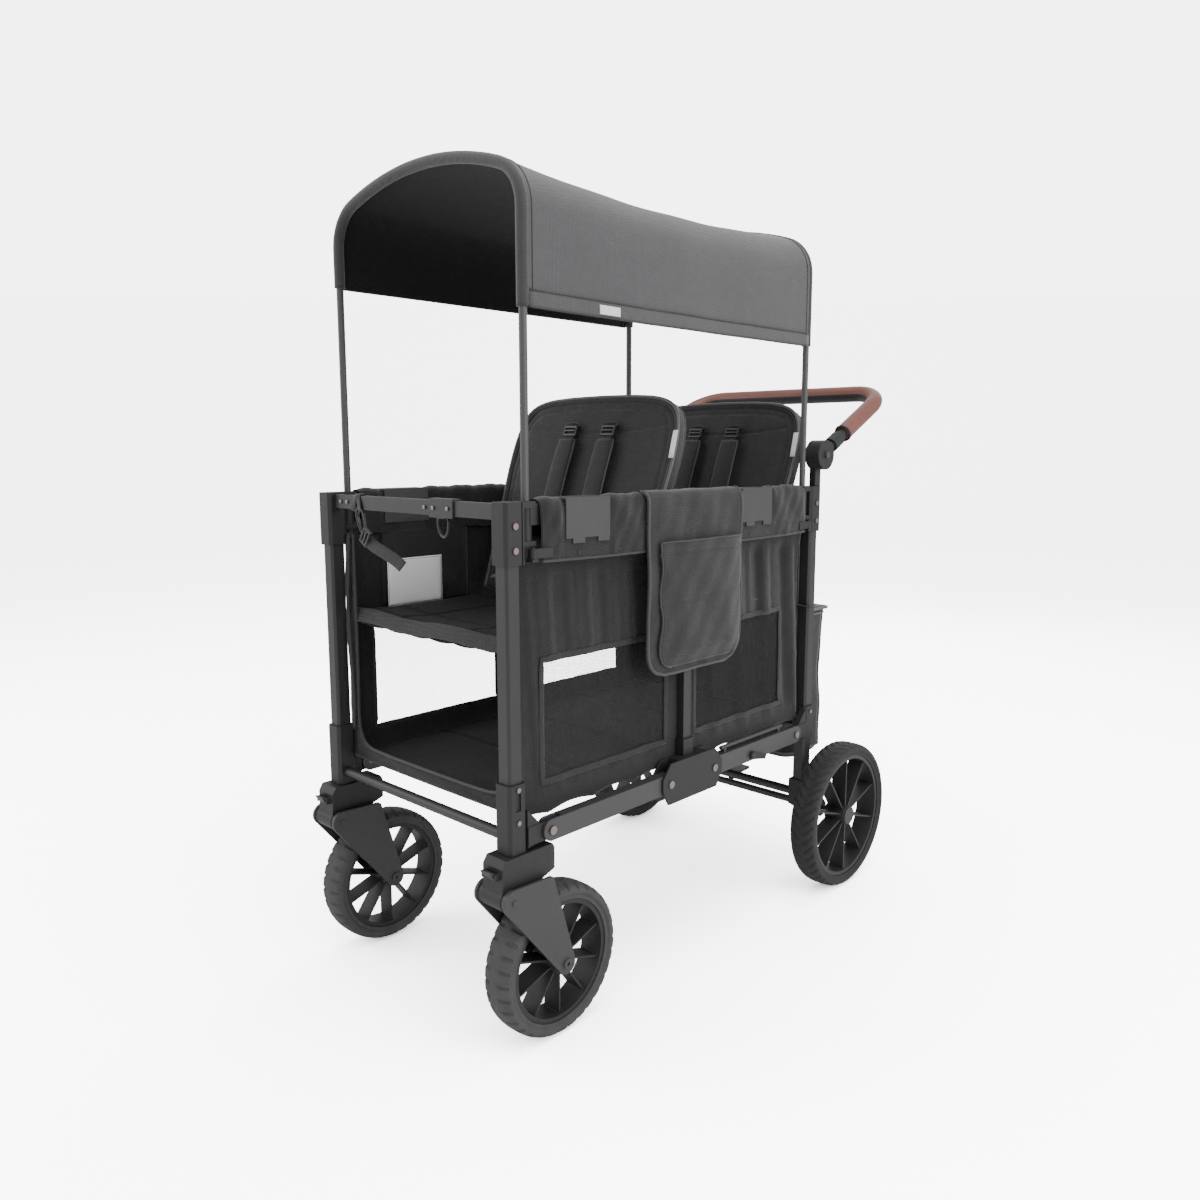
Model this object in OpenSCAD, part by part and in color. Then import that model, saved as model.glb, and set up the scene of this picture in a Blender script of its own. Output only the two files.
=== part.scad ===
// Folding two-seat pull wagon. Millimetres, +Z up, handle end towards +Y, ground at z = 0.
// Every module is drawn about the middle of the four posts and moved by at_mid().

/* [Frame] */
// Distance between the front and the rear post centres
post_span_l = 832; // [780:2:1000]
// Distance between the left and the right post centres
post_span_w = 470; // [450:2:560]
// Height of the post tops
post_top = 866; // [800:2:980]
// Side of the square post tube
post_size = 28; // [24:1:32]
// Wall of the square post tube
post_wall = 2; // [1.5:0.1:3]
// Side of the castings and boots on the posts
casting_size = 36; // [34:1:40]
// Height of the top castings
casting_h = 93; // [80:1:110]
// Height of the top of the front boots
front_boot_top = 440; // [420:1:470]
// Height of the top of the rear boots
rear_boot_top = 400; // [390:1:430]
// Height of the underside of all four boots
boot_bottom = 330; // [326:1:334]

/* [Folding rails] */
// Distance from the post centre to the rail's outer pivot
rail_inset = 64; // [60:1:80]
// Distance from the middle of the wagon to a rail's inner pivot
centre_pivot = 64; // [60:1:72]
// Height of a lower rail
lower_rail_h = 35; // [30:1:36]
// Thickness of a lower rail
lower_rail_t = 20; // [18:0.5:22]
// Height of the lower rail pivots
lower_pivot_z = 352.5; // [352:0.5:356]
// Height of a top rail
top_rail_h = 32; // [24:1:34]
// Thickness of a top rail
top_rail_t = 14; // [10:0.5:16]
// Radius of the fold pins
pin_r = 4; // [3:0.5:5]
// Thickness of the hinge plates
plate_t = 4; // [3:0.5:5]

/* [Fits] */
// Radial clearance of a running pin in its bore
run_gap = 0.05; // [0.02:0.01:0.1]
// Gap between faces that slide past each other
slide_gap = 0.3; // [0.3:0.05:0.6]

/* [Front casters] */
// Radius of the front tyre
front_tyre_r = 125; // [110:1:135]
// Width of the front tyre
front_tyre_w = 57; // [46:1:60]
// Distance that the wheel trails behind the swivel axis
trail = 84; // [74:1:90]
// Distance of the knuckle bolt ahead of the swivel axis
knuckle_lead = 26; // [22:1:30]
// Height of the knuckle bolt
knuckle_z = 266; // [262:1:274]
// Radius of the swivel stem
stem_r = 8; // [7:0.5:10]
// Thickness of a fork arm
fork_t = 5.5; // [4:0.5:7]

/* [Rear wheels] */
// Radius of the rear tyre
rear_tyre_r = 155.7; // [140:0.1:165]
// Width of the rear tyre
rear_tyre_w = 56; // [46:1:60]
// Distance of a rear tyre's middle outside the middle of its post
rear_wheel_out = 58.6; // [55:0.1:85]
// Distance of the rear axle behind the rear posts
axle_setback = 62; // [56:1:70]
// Radius of the rear axle
axle_r = 8; // [6:0.5:10]

/* [Wheels] */
// Number of spokes in a wheel
spokes = 10; // [6:1:12]
// Thickness of a spoke
spoke_t = 3.2; // [2.5:0.1:5]

/* [Handle] */
// Height of the handle pivots
handle_z = 930; // [922:1:950]
// Distance from the pivots to the cross bar of the handle
handle_reach = 300; // [260:2:400]
// Angle of the handle above the horizontal
handle_tilt = 27; // [0:1:60]
// Radius of the handle tube
handle_tube_r = 11; // [9:0.5:12]
// Radius of the handle grip
grip_r = 17.5; // [15:0.5:19]
// Radius of the bends in the handle
handle_bend_r = 70; // [60:1:90]

/* [Canopy] */
// Height of the crown of the canopy
canopy_top = 1394; // [1340:2:1460]
// Radius of the crown of the canopy
crown_r = 590; // [520:5:700]
// Radius of the canopy's shoulders
shoulder_r = 79; // [70:1:90]
// Radius of a canopy pole
pole_r = 6.25; // [5:0.25:7]
// Height of the canopy's edge on the near side
near_hem_z = 1145; // [1145:1:1200]
// Height of the canopy's edge on the far side
far_hem_z = 1222; // [1150:1:1240]
// Thickness of the canopy cloth
canopy_t = 2.5; // [1.5:0.1:3]

/* [Tub and seats] */
// Thickness of the tub's cloth walls
cloth_t = 3; // [2:0.5:4]
// Height of the tub's floor
floor_z = 372; // [372:1:380]
// Height of a seat's surface
seat_z = 656; // [620:2:680]
// Length of a seat back
seat_back_l = 409; // [360:2:430]
// Half width of a seat back at its widest
seat_back_half_w = 214; // [190:1:216]
// Thickness of a seat back
seat_back_t = 24; // [16:1:26]
// Lean of a seat back from the vertical
seat_lean = 20; // [10:1:22]
// Distance between the two seats
seat_pitch = 395; // [380:1:400]

/* [Bags] */
// Width of the side pouch
pouch_w = 261; // [200:1:262]
// Depth of the side pouch below the rail
pouch_h = 311; // [250:1:330]
// Thickness of the side pouch
pouch_t = 18; // [12:1:30]
// Depth of the rear basket from front to back
basket_l = 144; // [110:1:150]
// Height of the rear basket
basket_h = 320; // [280:1:330]
// Height of the bottom of the rear basket
basket_z = 265; // [262:1:280]

/* [Hidden] */
$fn = 64;

frame_grey = [0.13, 0.13, 0.14];
plastic = [0.17, 0.17, 0.18];
cloth = [0.08, 0.08, 0.09];
canopy_grey = [0.22, 0.22, 0.23];
rim_grey = [0.28, 0.28, 0.29];
rubber = [0.15, 0.15, 0.16];
bolt_metal = [0.72, 0.6, 0.57];
leather = [0.47, 0.25, 0.2];

// Posts and castings
post_x = post_span_w / 2;
post_y = post_span_l / 2;
cap_t = 4;
post_chamfer = 4;
casting_face_y = post_y - casting_size / 2;
casting_face_x = post_x - casting_size / 2;
casting_out_x = post_x + casting_size / 2;
casting_bottom = post_top - casting_h;
boot_floor = 366;
leg_bottom = 190;

// Rails: the outer pivots, the inner pivots and the planes that the rails lie in
rail_pivot_y = post_y - rail_inset;
rail_l = rail_pivot_y - centre_pivot;
lower_rail_x = post_x + 15;
lower_rail_in = lower_rail_x - lower_rail_t / 2;
lower_rail_out = lower_rail_x + lower_rail_t / 2;
top_rail_x = post_x + 3;
top_rail_in = top_rail_x - top_rail_t / 2;
top_rail_out = top_rail_x + top_rail_t / 2;
top_cover_gap = 0.5;
wrap_t = cloth_t;
top_pivot_z = post_top - wrap_t - top_cover_gap - top_rail_h / 2;
bore_r = pin_r + run_gap;
tongue_t = lower_rail_t / 2;
tongue_r = 15;
hub_block_half = centre_pivot - lower_rail_h / 2 - 6;
plate_end = centre_pivot + 20;
plate_low = lower_pivot_z - 37;
plate_high = lower_pivot_z + 38;
mid_post_x = post_x + 5;
mid_post_t = 14;
mid_post_w = 20;
cheek_in = top_rail_in - slide_gap - plate_t;
cheek_out = top_rail_out + slide_gap + plate_t;
cheek_r = top_rail_h / 2;

// Fabric wrap over the top rails and the clips that saddle it
wrap_in = cheek_in - 6.7;
wrap_out = cheek_out + 6.7;
wrap_low = top_pivot_z - 46.5;
wrap_end_y = rail_pivot_y + 14;
clip_t = 3;
clip_gap = slide_gap;
clip_w = 98;
clip_low = top_pivot_z - 40;
front_clip_y = -268;
rear_clip_y = 192;

// Canopy
pole_x = top_rail_x;
pole_y = post_y - 34;
pole_bottom = post_top - 80;
cover_r = pole_r + 3;
hoop_crown_r = crown_r - cover_r;
hoop_shoulder_r = shoulder_r - cover_r;
hoop_top = canopy_top - cover_r;
shoulder_x = pole_x - hoop_shoulder_r;
shoulder_a = acos(shoulder_x / (hoop_crown_r - hoop_shoulder_r));
crown_z = hoop_top - hoop_crown_r;
shoulder_z = crown_z + (hoop_crown_r - hoop_shoulder_r) * sin(shoulder_a);
// the crown tube ends this angle short of each bent shoulder that it plugs into
crown_trim_a = 0.003;
sheet_in = pole_r + slide_gap;

// Wheels
front_wheel_y = -post_y + trail;
front_wheel_z = front_tyre_r;
knuckle_y = -post_y - knuckle_lead;
fork_in = front_tyre_w / 2 + 2;
fork_out = fork_in + fork_t;
head_half = 23;
front_axle_r = 6;
rear_track = 2 * (post_x + rear_wheel_out);
rear_wheel_x = rear_track / 2;
rear_wheel_y = post_y + axle_setback;
rear_wheel_z = rear_tyre_r;
tyre_band = 24;
rim_band = 8;
hub_r = 20;

// Handle
handle_y = post_y + 8;
handle_x = post_x + 19;
knob_r = 30;
knob_split = post_x + 15;
grip_start = 98;
collar_start = 42;
collar_end = 76;
button_r = 7;
button_travel = 4;

// Tub and seats
tub_x = post_x - 4;
tub_y = casting_face_y - 2;
tub_top = wrap_low + cloth_t;
front_hinge_y = -97;
seat_depth = 290;
seat_rod_r = 7;
seat_base_t = 22;
basket_half_w = 200;
basket_front = post_y + 9 + 0.5;
lid_t = 10;
pouch_x = wrap_out + clip_gap + clip_t + slide_gap;

// Brake
brake_y = post_y + 30;
brake_z = leg_bottom - 4;
brake_r = 5;

// The whole wagon is centred on its own box
front_reach = post_y + 52;
rear_reach = handle_y + handle_reach * cos(handle_tilt) + grip_r;
mid_y = (front_reach - rear_reach) / 2;

module at_mid() translate([0, mid_y, 0]) children();

module both_sides() {
    children();
    mirror([1, 0, 0]) children();
}

module side(s) mirror([s < 0 ? 1 : 0, 0, 0]) children();

module span(low, high) translate(low) cube(high - low);

module rod_x(x1, x2, y, z, r) translate([x1, y, z]) rotate([0, 90, 0]) cylinder(h = x2 - x1, r = r);

module rod_z(x, y, z1, z2, r) translate([x, y, z1]) cylinder(h = z2 - z1, r = r);

// An outline in y and z, given a thickness from x1 to x2
module plate_x(x1, x2) translate([x1, 0, 0]) rotate([90, 0, 90]) linear_extrude(x2 - x1) children();

module chamfered_square(s, c) polygon([
    [-s / 2 + c, -s / 2], [s / 2 - c, -s / 2], [s / 2, -s / 2 + c], [s / 2, s / 2 - c],
    [s / 2 - c, s / 2], [-s / 2 + c, s / 2], [-s / 2, s / 2 - c], [-s / 2, -s / 2 + c]]);

module post(y, z1, z2) translate([post_x, y, z1]) linear_extrude(z2 - z1) difference() {
    chamfered_square(post_size, post_chamfer);
    chamfered_square(post_size - 2 * post_wall, post_chamfer - post_wall / 2);
}

module sleeve(y, z1, z2, open_from, open_to) translate([post_x, y, 0]) difference() {
    translate([0, 0, z1]) linear_extrude(z2 - z1) chamfered_square(casting_size, post_chamfer + 1);
    translate([0, 0, open_from]) linear_extrude(open_to - open_from)
        chamfered_square(post_size, post_chamfer);
}

// ---- posts, castings and boots ----

module rear_posts() color(frame_grey) at_mid() both_sides()
    post(post_y, leg_bottom, post_top - cap_t);

module front_posts() color(frame_grey) at_mid() both_sides()
    post(-post_y, boot_floor, post_top - cap_t);

// A casting with the bracket that holds a canopy pole and the end of a top rail
module castings() both_sides() {
    sleeve(post_y, casting_bottom, post_top, casting_bottom - 1, post_top - cap_t);
    pole_socket();
}

module rear_castings() color(plastic) at_mid() castings();

module front_castings() color(plastic) at_mid() mirror([0, 1, 0]) castings();

// The tongue that carries the end of a lower rail, with its gusset
module boot_tongue() difference() {
    union() {
        plate_x(lower_rail_x - tongue_t / 2, lower_rail_x + tongue_t / 2) {
            translate([rail_pivot_y, lower_pivot_z]) circle(tongue_r);
            translate([rail_pivot_y, lower_pivot_z - tongue_r])
                square([casting_face_y - rail_pivot_y, 2 * tongue_r]);
        }
        plate_x(lower_rail_in, casting_out_x) polygon([
            [casting_face_y, boot_bottom + 4], [casting_face_y, rear_boot_top - 4],
            [rail_pivot_y + 20, lower_pivot_z + tongue_r],
            [rail_pivot_y + 20, lower_pivot_z - tongue_r]]);
    }
    rod_x(lower_rail_in - 1, lower_rail_out + 1, rail_pivot_y, lower_pivot_z, bore_r);
}

module rear_boots() color(plastic) at_mid() both_sides() {
    sleeve(post_y, boot_bottom, rear_boot_top, boot_bottom - 1, rear_boot_top + 1);
    boot_tongue();
}

module front_boots() color(plastic) at_mid() both_sides() mirror([0, 1, 0]) {
    difference() {
        sleeve(post_y, boot_bottom, front_boot_top, boot_floor, front_boot_top + 1);
        rod_z(post_x, post_y, boot_bottom - 1, boot_floor - 4, stem_r + run_gap);
        // slot that shows the tube
        span([casting_out_x - 3, post_y - 5, rear_boot_top - 2],
            [casting_out_x + 1, post_y + 5, front_boot_top - 14]);
    }
    boot_tongue();
}

// ---- cross bars and the rear axle ----

upper_bar_h = 24;
upper_bar_t = 12;
upper_bar_z = post_top - 15;
low_bar_r = 9;
leg_bar_r = 8;
sleeve_x = 90;
sleeve_half = 30;

module rear_cross_bars() color(frame_grey) at_mid() {
    span([-casting_face_x, post_y - upper_bar_t / 2, upper_bar_z - upper_bar_h / 2],
        [casting_face_x, post_y + upper_bar_t / 2, upper_bar_z + upper_bar_h / 2]);
    rod_x(-casting_face_x, casting_face_x, post_y, lower_pivot_z, low_bar_r);
    rod_x(-carrier_in, carrier_in, post_y, leg_bottom + 14, leg_bar_r);
}

module front_cross_bars() color(frame_grey) at_mid() {
    for (x = [[-casting_face_x, sleeve_x - 1], [sleeve_x + 1, casting_face_x]])
        span([x[0], -post_y - upper_bar_t / 2, upper_bar_z - upper_bar_h / 2],
            [x[1], -post_y + upper_bar_t / 2, upper_bar_z + upper_bar_h / 2]);
    difference() {
        span([sleeve_x - sleeve_half, -post_y - upper_bar_t / 2 - 3, upper_bar_z - upper_bar_h / 2 - 3],
            [sleeve_x + sleeve_half, -post_y + upper_bar_t / 2 + 3, upper_bar_z + upper_bar_h / 2 + 3]);
        span([sleeve_x - sleeve_half - 1, -post_y - upper_bar_t / 2, upper_bar_z - upper_bar_h / 2],
            [sleeve_x + sleeve_half + 1, -post_y + upper_bar_t / 2, upper_bar_z + upper_bar_h / 2]);
    }
    rod_x(-casting_face_x, casting_face_x, -post_y, lower_pivot_z, low_bar_r);
}

carrier_in = post_x - 19;
carrier_out = post_x + 17;
carrier_top = leg_bottom + 46;
axle_boss_r = 19;

module axle_carriers() color(plastic) at_mid() both_sides() difference() {
    plate_x(carrier_in, carrier_out) {
        polygon([[post_y - 18, leg_bottom - 10], [post_y - 18, carrier_top],
            [post_y + 18, carrier_top], [rear_wheel_y + 12, rear_wheel_z + 14],
            [rear_wheel_y, rear_wheel_z - axle_boss_r], [rear_wheel_y - 20, rear_wheel_z - 12]]);
        translate([rear_wheel_y, rear_wheel_z]) circle(axle_boss_r);
    }
    translate([post_x, post_y, leg_bottom]) linear_extrude(carrier_top)
        chamfered_square(post_size, post_chamfer);
    rod_x(carrier_in - 1, carrier_out + 1, rear_wheel_y, rear_wheel_z, axle_r + run_gap);
    rod_x(carrier_in - 1, carrier_in + 10, brake_y, brake_z, brake_r + run_gap);
}

axle_end = rear_wheel_x + rear_tyre_w / 2 - 8;

module rear_axle() color(bolt_metal) at_mid()
    rod_x(-axle_end, axle_end, rear_wheel_y, rear_wheel_z, axle_r);

// ---- brake ----

pedal_half = 34;
pedal_end = rear_wheel_y + 36;
pedal_t = 6;

module brake_bar() color(plastic) at_mid() {
    rod_x(-carrier_in - 9, carrier_in + 9, brake_y, brake_z, brake_r);
    plate_x(-pedal_half, pedal_half) polygon([
        [brake_y, brake_z - pedal_t / 2], [pedal_end, brake_z - pedal_t / 2 + 4],
        [pedal_end, brake_z + pedal_t / 2 + 4], [brake_y, brake_z + pedal_t / 2]]);
    for (x = [-pedal_half, pedal_half - 5])
        plate_x(x, x + 5) translate([brake_y, brake_z]) circle(brake_r + 5);
}

// ---- lower rails, hinge plates and mid posts ----

module lower_rail() difference() {
    plate_x(lower_rail_in, lower_rail_out) {
        for (y = [centre_pivot, rail_pivot_y])
            translate([y, lower_pivot_z]) circle(lower_rail_h / 2);
        translate([centre_pivot, lower_pivot_z - lower_rail_h / 2])
            square([rail_l, lower_rail_h]);
    }
    // slot for the boot's tongue
    span([lower_rail_x - tongue_t / 2 - slide_gap, rail_pivot_y - 24, lower_pivot_z - lower_rail_h],
        [lower_rail_x + tongue_t / 2 + slide_gap, rail_pivot_y + lower_rail_h, lower_pivot_z + lower_rail_h]);
    // hollow of the tube
    span([lower_rail_in + 2, centre_pivot + 30, lower_pivot_z - lower_rail_h / 2 + 3],
        [lower_rail_out - 2, rail_pivot_y - 34, lower_pivot_z + lower_rail_h / 2 - 3]);
    for (y = [centre_pivot, rail_pivot_y])
        rod_x(lower_rail_in - 1, lower_rail_out + 1, y, lower_pivot_z, bore_r);
}

stiffener_z = lower_pivot_z + lower_rail_h / 2 + 9;
stiffener_r = 4;
latch_pin_y = 190;
latch_pin_z = lower_pivot_z - 6;

module rear_lower_rails() color(frame_grey) at_mid() both_sides() {
    lower_rail();
    // thin bar that carries the tub's lower loops, on two feet
    translate([lower_rail_x, centre_pivot + 36, stiffener_z]) rotate([-90, 0, 0])
        cylinder(h = rail_l - 80, r = stiffener_r);
    for (y = [centre_pivot + 44, rail_pivot_y - 60])
        span([lower_rail_x - 3, y, lower_pivot_z + lower_rail_h / 2],
            [lower_rail_x + 3, y + 8, stiffener_z]);
    // pin of the latch
    rod_x(lower_rail_out, lower_rail_out + 7, latch_pin_y, latch_pin_z, 3);
}

module front_lower_rails() color(frame_grey) at_mid() both_sides() mirror([0, 1, 0]) lower_rail();

module rail_latches() color(plastic) at_mid() both_sides() difference() {
    plate_x(lower_rail_out + slide_gap, lower_rail_out + 6) {
        translate([latch_pin_y, latch_pin_z]) circle(8);
        polygon([[latch_pin_y, latch_pin_z - 8], [latch_pin_y + 40, latch_pin_z - 16],
            [latch_pin_y + 44, latch_pin_z - 8], [latch_pin_y, latch_pin_z + 8]]);
    }
    rod_x(lower_rail_out - 1, lower_rail_out + 8, latch_pin_y, latch_pin_z, 3 + run_gap);
}

module hinge_plate_outline() polygon([
    [-plate_end + 14, plate_low], [plate_end - 14, plate_low],
    [plate_end + 2, lower_pivot_z - 10], [plate_end + 2, lower_pivot_z + 12],
    [plate_end - 20, plate_high], [-plate_end + 20, plate_high],
    [-plate_end - 2, lower_pivot_z + 12], [-plate_end - 2, lower_pivot_z - 10]]);

module centre_plates() color(plastic) at_mid() both_sides() difference() {
    union() {
        plate_x(lower_rail_in - slide_gap - plate_t, lower_rail_in - slide_gap)
            hinge_plate_outline();
        plate_x(lower_rail_out + slide_gap, lower_rail_out + slide_gap + plate_t)
            hinge_plate_outline();
        span([lower_rail_in - slide_gap - 1, -hub_block_half, plate_low + 6],
            [lower_rail_out + slide_gap + 1, hub_block_half, plate_high]);
    }
    for (y = [-centre_pivot, centre_pivot])
        rod_x(lower_rail_in - 10, lower_rail_out + 10, y, lower_pivot_z, bore_r);
}

module mid_posts() color(frame_grey) at_mid() both_sides() difference() {
    span([mid_post_x - mid_post_t / 2, -mid_post_w / 2, plate_high],
        [mid_post_x + mid_post_t / 2, mid_post_w / 2, top_pivot_z - cheek_r]);
    span([mid_post_x - mid_post_t / 2 + 1.5, -mid_post_w / 2 + 1.5, plate_high - 1],
        [mid_post_x + mid_post_t / 2 - 1.5, mid_post_w / 2 - 1.5, top_pivot_z]);
}

bracket_half = centre_pivot - top_rail_h / 2 - 6;

module mid_brackets() color(plastic) at_mid() both_sides() {
    // foot that grips the post above the hinge plates
    difference() {
        span([mid_post_x - mid_post_t / 2 - 2, -mid_post_w / 2 - 4, plate_high],
            [mid_post_x + mid_post_t / 2 + 4, mid_post_w / 2 + 4, plate_high + 30]);
        span([mid_post_x - mid_post_t / 2, -mid_post_w / 2, plate_high - 1],
            [mid_post_x + mid_post_t / 2, mid_post_w / 2, plate_high + 31]);
    }
    // head that carries the inner ends of the top rails
    difference() {
        union() {
            for (x = [cheek_in, cheek_out - plate_t])
                plate_x(x, x + plate_t) {
                    for (y = [-centre_pivot, centre_pivot])
                        translate([y, top_pivot_z]) circle(cheek_r);
                    translate([-centre_pivot, top_pivot_z - cheek_r])
                        square([2 * centre_pivot, 2 * cheek_r]);
                }
            span([cheek_in + 1, -bracket_half, top_pivot_z - cheek_r],
                [cheek_out - 1, bracket_half, top_pivot_z + cheek_r]);
        }
        for (y = [-centre_pivot, centre_pivot])
            rod_x(cheek_in - 1, cheek_out + 1, y, top_pivot_z, bore_r);
    }
}

module fold_pins() color(bolt_metal) at_mid() both_sides() for (y = [-centre_pivot, centre_pivot]) {
    rod_x(lower_rail_in - slide_gap - plate_t - 0.5, lower_rail_out + slide_gap + plate_t,
        y, lower_pivot_z, pin_r);
    rod_x(lower_rail_out + slide_gap + plate_t, lower_rail_out + slide_gap + plate_t + 2,
        y, lower_pivot_z, pin_r + 3);
    rod_x(cheek_in, cheek_out, y, top_pivot_z, pin_r);
}

// ---- top rails, seat clips and pole sockets ----

module top_rail() difference() {
    plate_x(top_rail_in, top_rail_out) {
        for (y = [centre_pivot, rail_pivot_y])
            translate([y, top_pivot_z]) circle(top_rail_h / 2);
        translate([centre_pivot, top_pivot_z - top_rail_h / 2]) square([rail_l, top_rail_h]);
    }
    span([top_rail_in + 2, centre_pivot + 26, top_pivot_z - top_rail_h / 2 + 2],
        [top_rail_out - 2, rail_pivot_y - 26, top_pivot_z + top_rail_h / 2 - 2]);
    for (y = [centre_pivot, rail_pivot_y])
        rod_x(top_rail_in - 1, top_rail_out + 1, y, top_pivot_z, bore_r);
}

module rear_top_rails() color(frame_grey) at_mid() both_sides() top_rail();

module front_top_rails() color(frame_grey) at_mid() both_sides() mirror([0, 1, 0]) top_rail();

module seat_clip(y) {
    difference() {
        span([wrap_in - clip_gap - clip_t, y - clip_w / 2, clip_low],
            [wrap_out + clip_gap + clip_t, y + clip_w / 2, post_top + clip_gap + clip_t]);
        span([wrap_in - clip_gap, y - clip_w / 2 - 1, clip_low - 1],
            [wrap_out + clip_gap, y + clip_w / 2 + 1, post_top + clip_gap]);
    }
    // two latch tabs under the outer lip
    for (dy = [-34, 22])
        span([wrap_out + clip_gap, y + dy, clip_low - 8],
            [wrap_out + clip_gap + clip_t, y + dy + 26, clip_low]);
}

module rear_seat_clips() color(rim_grey) at_mid() both_sides() seat_clip(rear_clip_y);

module front_seat_clips() color(rim_grey) at_mid() both_sides() seat_clip(front_clip_y);

socket_r = 10;
socket_out = pole_x + 12;
lever_pin_x = socket_out + 5;
lever_z = pole_bottom - 5;
lever_h = 15;
lever_r = 6;

// Bracket between a casting and the rail pivot, with the tube that holds a canopy pole
module pole_socket() difference() {
    union() {
        rod_z(pole_x, pole_y, pole_bottom - 12, post_top, socket_r);
        span([cheek_in, pole_y - 11, post_top - 10], [socket_out, casting_face_y, post_top]);
        span([cheek_in, pole_y - 11, casting_bottom + 26], [socket_out, casting_face_y, casting_bottom + 34]);
        span([cheek_in, casting_face_y - 4, casting_bottom], [socket_out, casting_face_y, post_top]);
        // cheeks that carry the outer end of the top rail
        for (x = [cheek_in, cheek_out - plate_t])
            plate_x(x, x + plate_t) {
                translate([rail_pivot_y, top_pivot_z]) circle(cheek_r);
                translate([rail_pivot_y, top_pivot_z - cheek_r])
                    square([pole_y - rail_pivot_y, 2 * cheek_r]);
            }
        // ear and pin of the clamp lever
        span([pole_x, pole_y - 6, lever_z - 5], [lever_pin_x + 5, pole_y + 6, lever_z]);
        rod_z(lever_pin_x, pole_y, lever_z, lever_z + lever_h + 2, 3);
    }
    rod_z(pole_x, pole_y, pole_bottom - 20, post_top + 1, pole_r + run_gap);
    rod_x(cheek_in - 1, cheek_out + 1, rail_pivot_y, top_pivot_z, bore_r);
}

lever_l = 37;

module clamp_lever() difference() {
    union() {
        rod_z(lever_pin_x, pole_y, lever_z + slide_gap, lever_z + lever_h, lever_r);
        span([lever_pin_x - 1, pole_y - lever_l, lever_z + slide_gap],
            [lever_pin_x + 4, pole_y, lever_z + lever_h]);
    }
    rod_z(lever_pin_x, pole_y, lever_z - 1, lever_z + lever_h + 1, 3 + run_gap);
}

module lever_at(s, end) color(plastic) at_mid() side(s) mirror([0, end < 0 ? 1 : 0, 0]) clamp_lever();

// ---- fasteners ----

module rail_end_pins() {
    rod_x(lower_rail_in - 1, lower_rail_out + 1, rail_pivot_y, lower_pivot_z, pin_r);
    rod_x(lower_rail_out + slide_gap, lower_rail_out + 3, rail_pivot_y, lower_pivot_z, pin_r + 3);
    rod_x(cheek_in, cheek_out, rail_pivot_y, top_pivot_z, pin_r);
}

// Screws that hold a casting to its post
module casting_screws() for (z = [casting_bottom + 22, casting_bottom + 58])
    rod_x(casting_out_x, casting_out_x + 2.5, post_y, z, 5);

module rear_fasteners() color(bolt_metal) at_mid() both_sides() {
    rail_end_pins();
    casting_screws();
    rod_x(casting_out_x, casting_out_x + 2, post_y, rear_boot_top - 12, 4);
}

module front_fasteners() color(bolt_metal) at_mid() both_sides() mirror([0, 1, 0]) {
    rail_end_pins();
    casting_screws();
    for (z = [boot_floor + 14, front_boot_top - 8])
        rod_x(casting_out_x, casting_out_x + 2, post_y, z, 4);
}

// ---- front casters ----

caster_top = boot_bottom - 0.5;
lug_r = 18;
bolt_r = 5;

module caster_head() difference() {
    union() {
        rod_z(post_x, -post_y, caster_top - 6, boot_floor - 6, stem_r);
        plate_x(post_x - head_half, post_x + head_half) polygon([
            [-post_y - 30, caster_top], [-post_y + 66, caster_top],
            [-post_y + 70, caster_top - 7], [-post_y + 70, knuckle_z + 22],
            [-post_y + 16, knuckle_z + 4], [knuckle_y + 12, knuckle_z - 10],
            [knuckle_y - 14, knuckle_z + 8], [-post_y - 38, knuckle_z + 26],
            [-post_y - 38, caster_top - 12]]);
        rod_x(post_x - head_half, post_x + head_half, knuckle_y, knuckle_z, lug_r);
        // ears of the swivel lock
        for (x = [post_x - 16, post_x + 12])
            span([x, lock_y - 4, lock_z - 5], [x + 4, -post_y - 36, lock_z + 5]);
        rod_x(post_x - 16, post_x + 16, lock_y, lock_z, 2.5);
    }
    rod_x(post_x - head_half - 1, post_x + head_half + 1, knuckle_y, knuckle_z, bolt_r + run_gap);
}

lock_y = -post_y - 43;
lock_z = caster_top - 24;

module swivel_lock() difference() {
    union() {
        rod_x(post_x - 11.5, post_x + 11.5, lock_y, lock_z, 4.5);
        plate_x(post_x - 11.5, post_x + 11.5) polygon([
            [lock_y - 1, lock_z + 4], [lock_y - 9, lock_z + 9], [lock_y - 9, lock_z + 5],
            [lock_y - 4, lock_z - 2]]);
    }
    rod_x(post_x - 17, post_x + 17, lock_y, lock_z, 2.5 + run_gap);
}

fork_angle = atan2(knuckle_z - front_wheel_z, knuckle_y - front_wheel_y);
bridge_l = front_tyre_r + 17;

module fork_outline() hull() {
    translate([knuckle_y, knuckle_z]) circle(20, $fn = 32);
    translate([front_wheel_y, front_wheel_z]) circle(18, $fn = 32);
    translate([-post_y + 50, knuckle_z + 10]) circle(7, $fn = 32);
}

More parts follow.
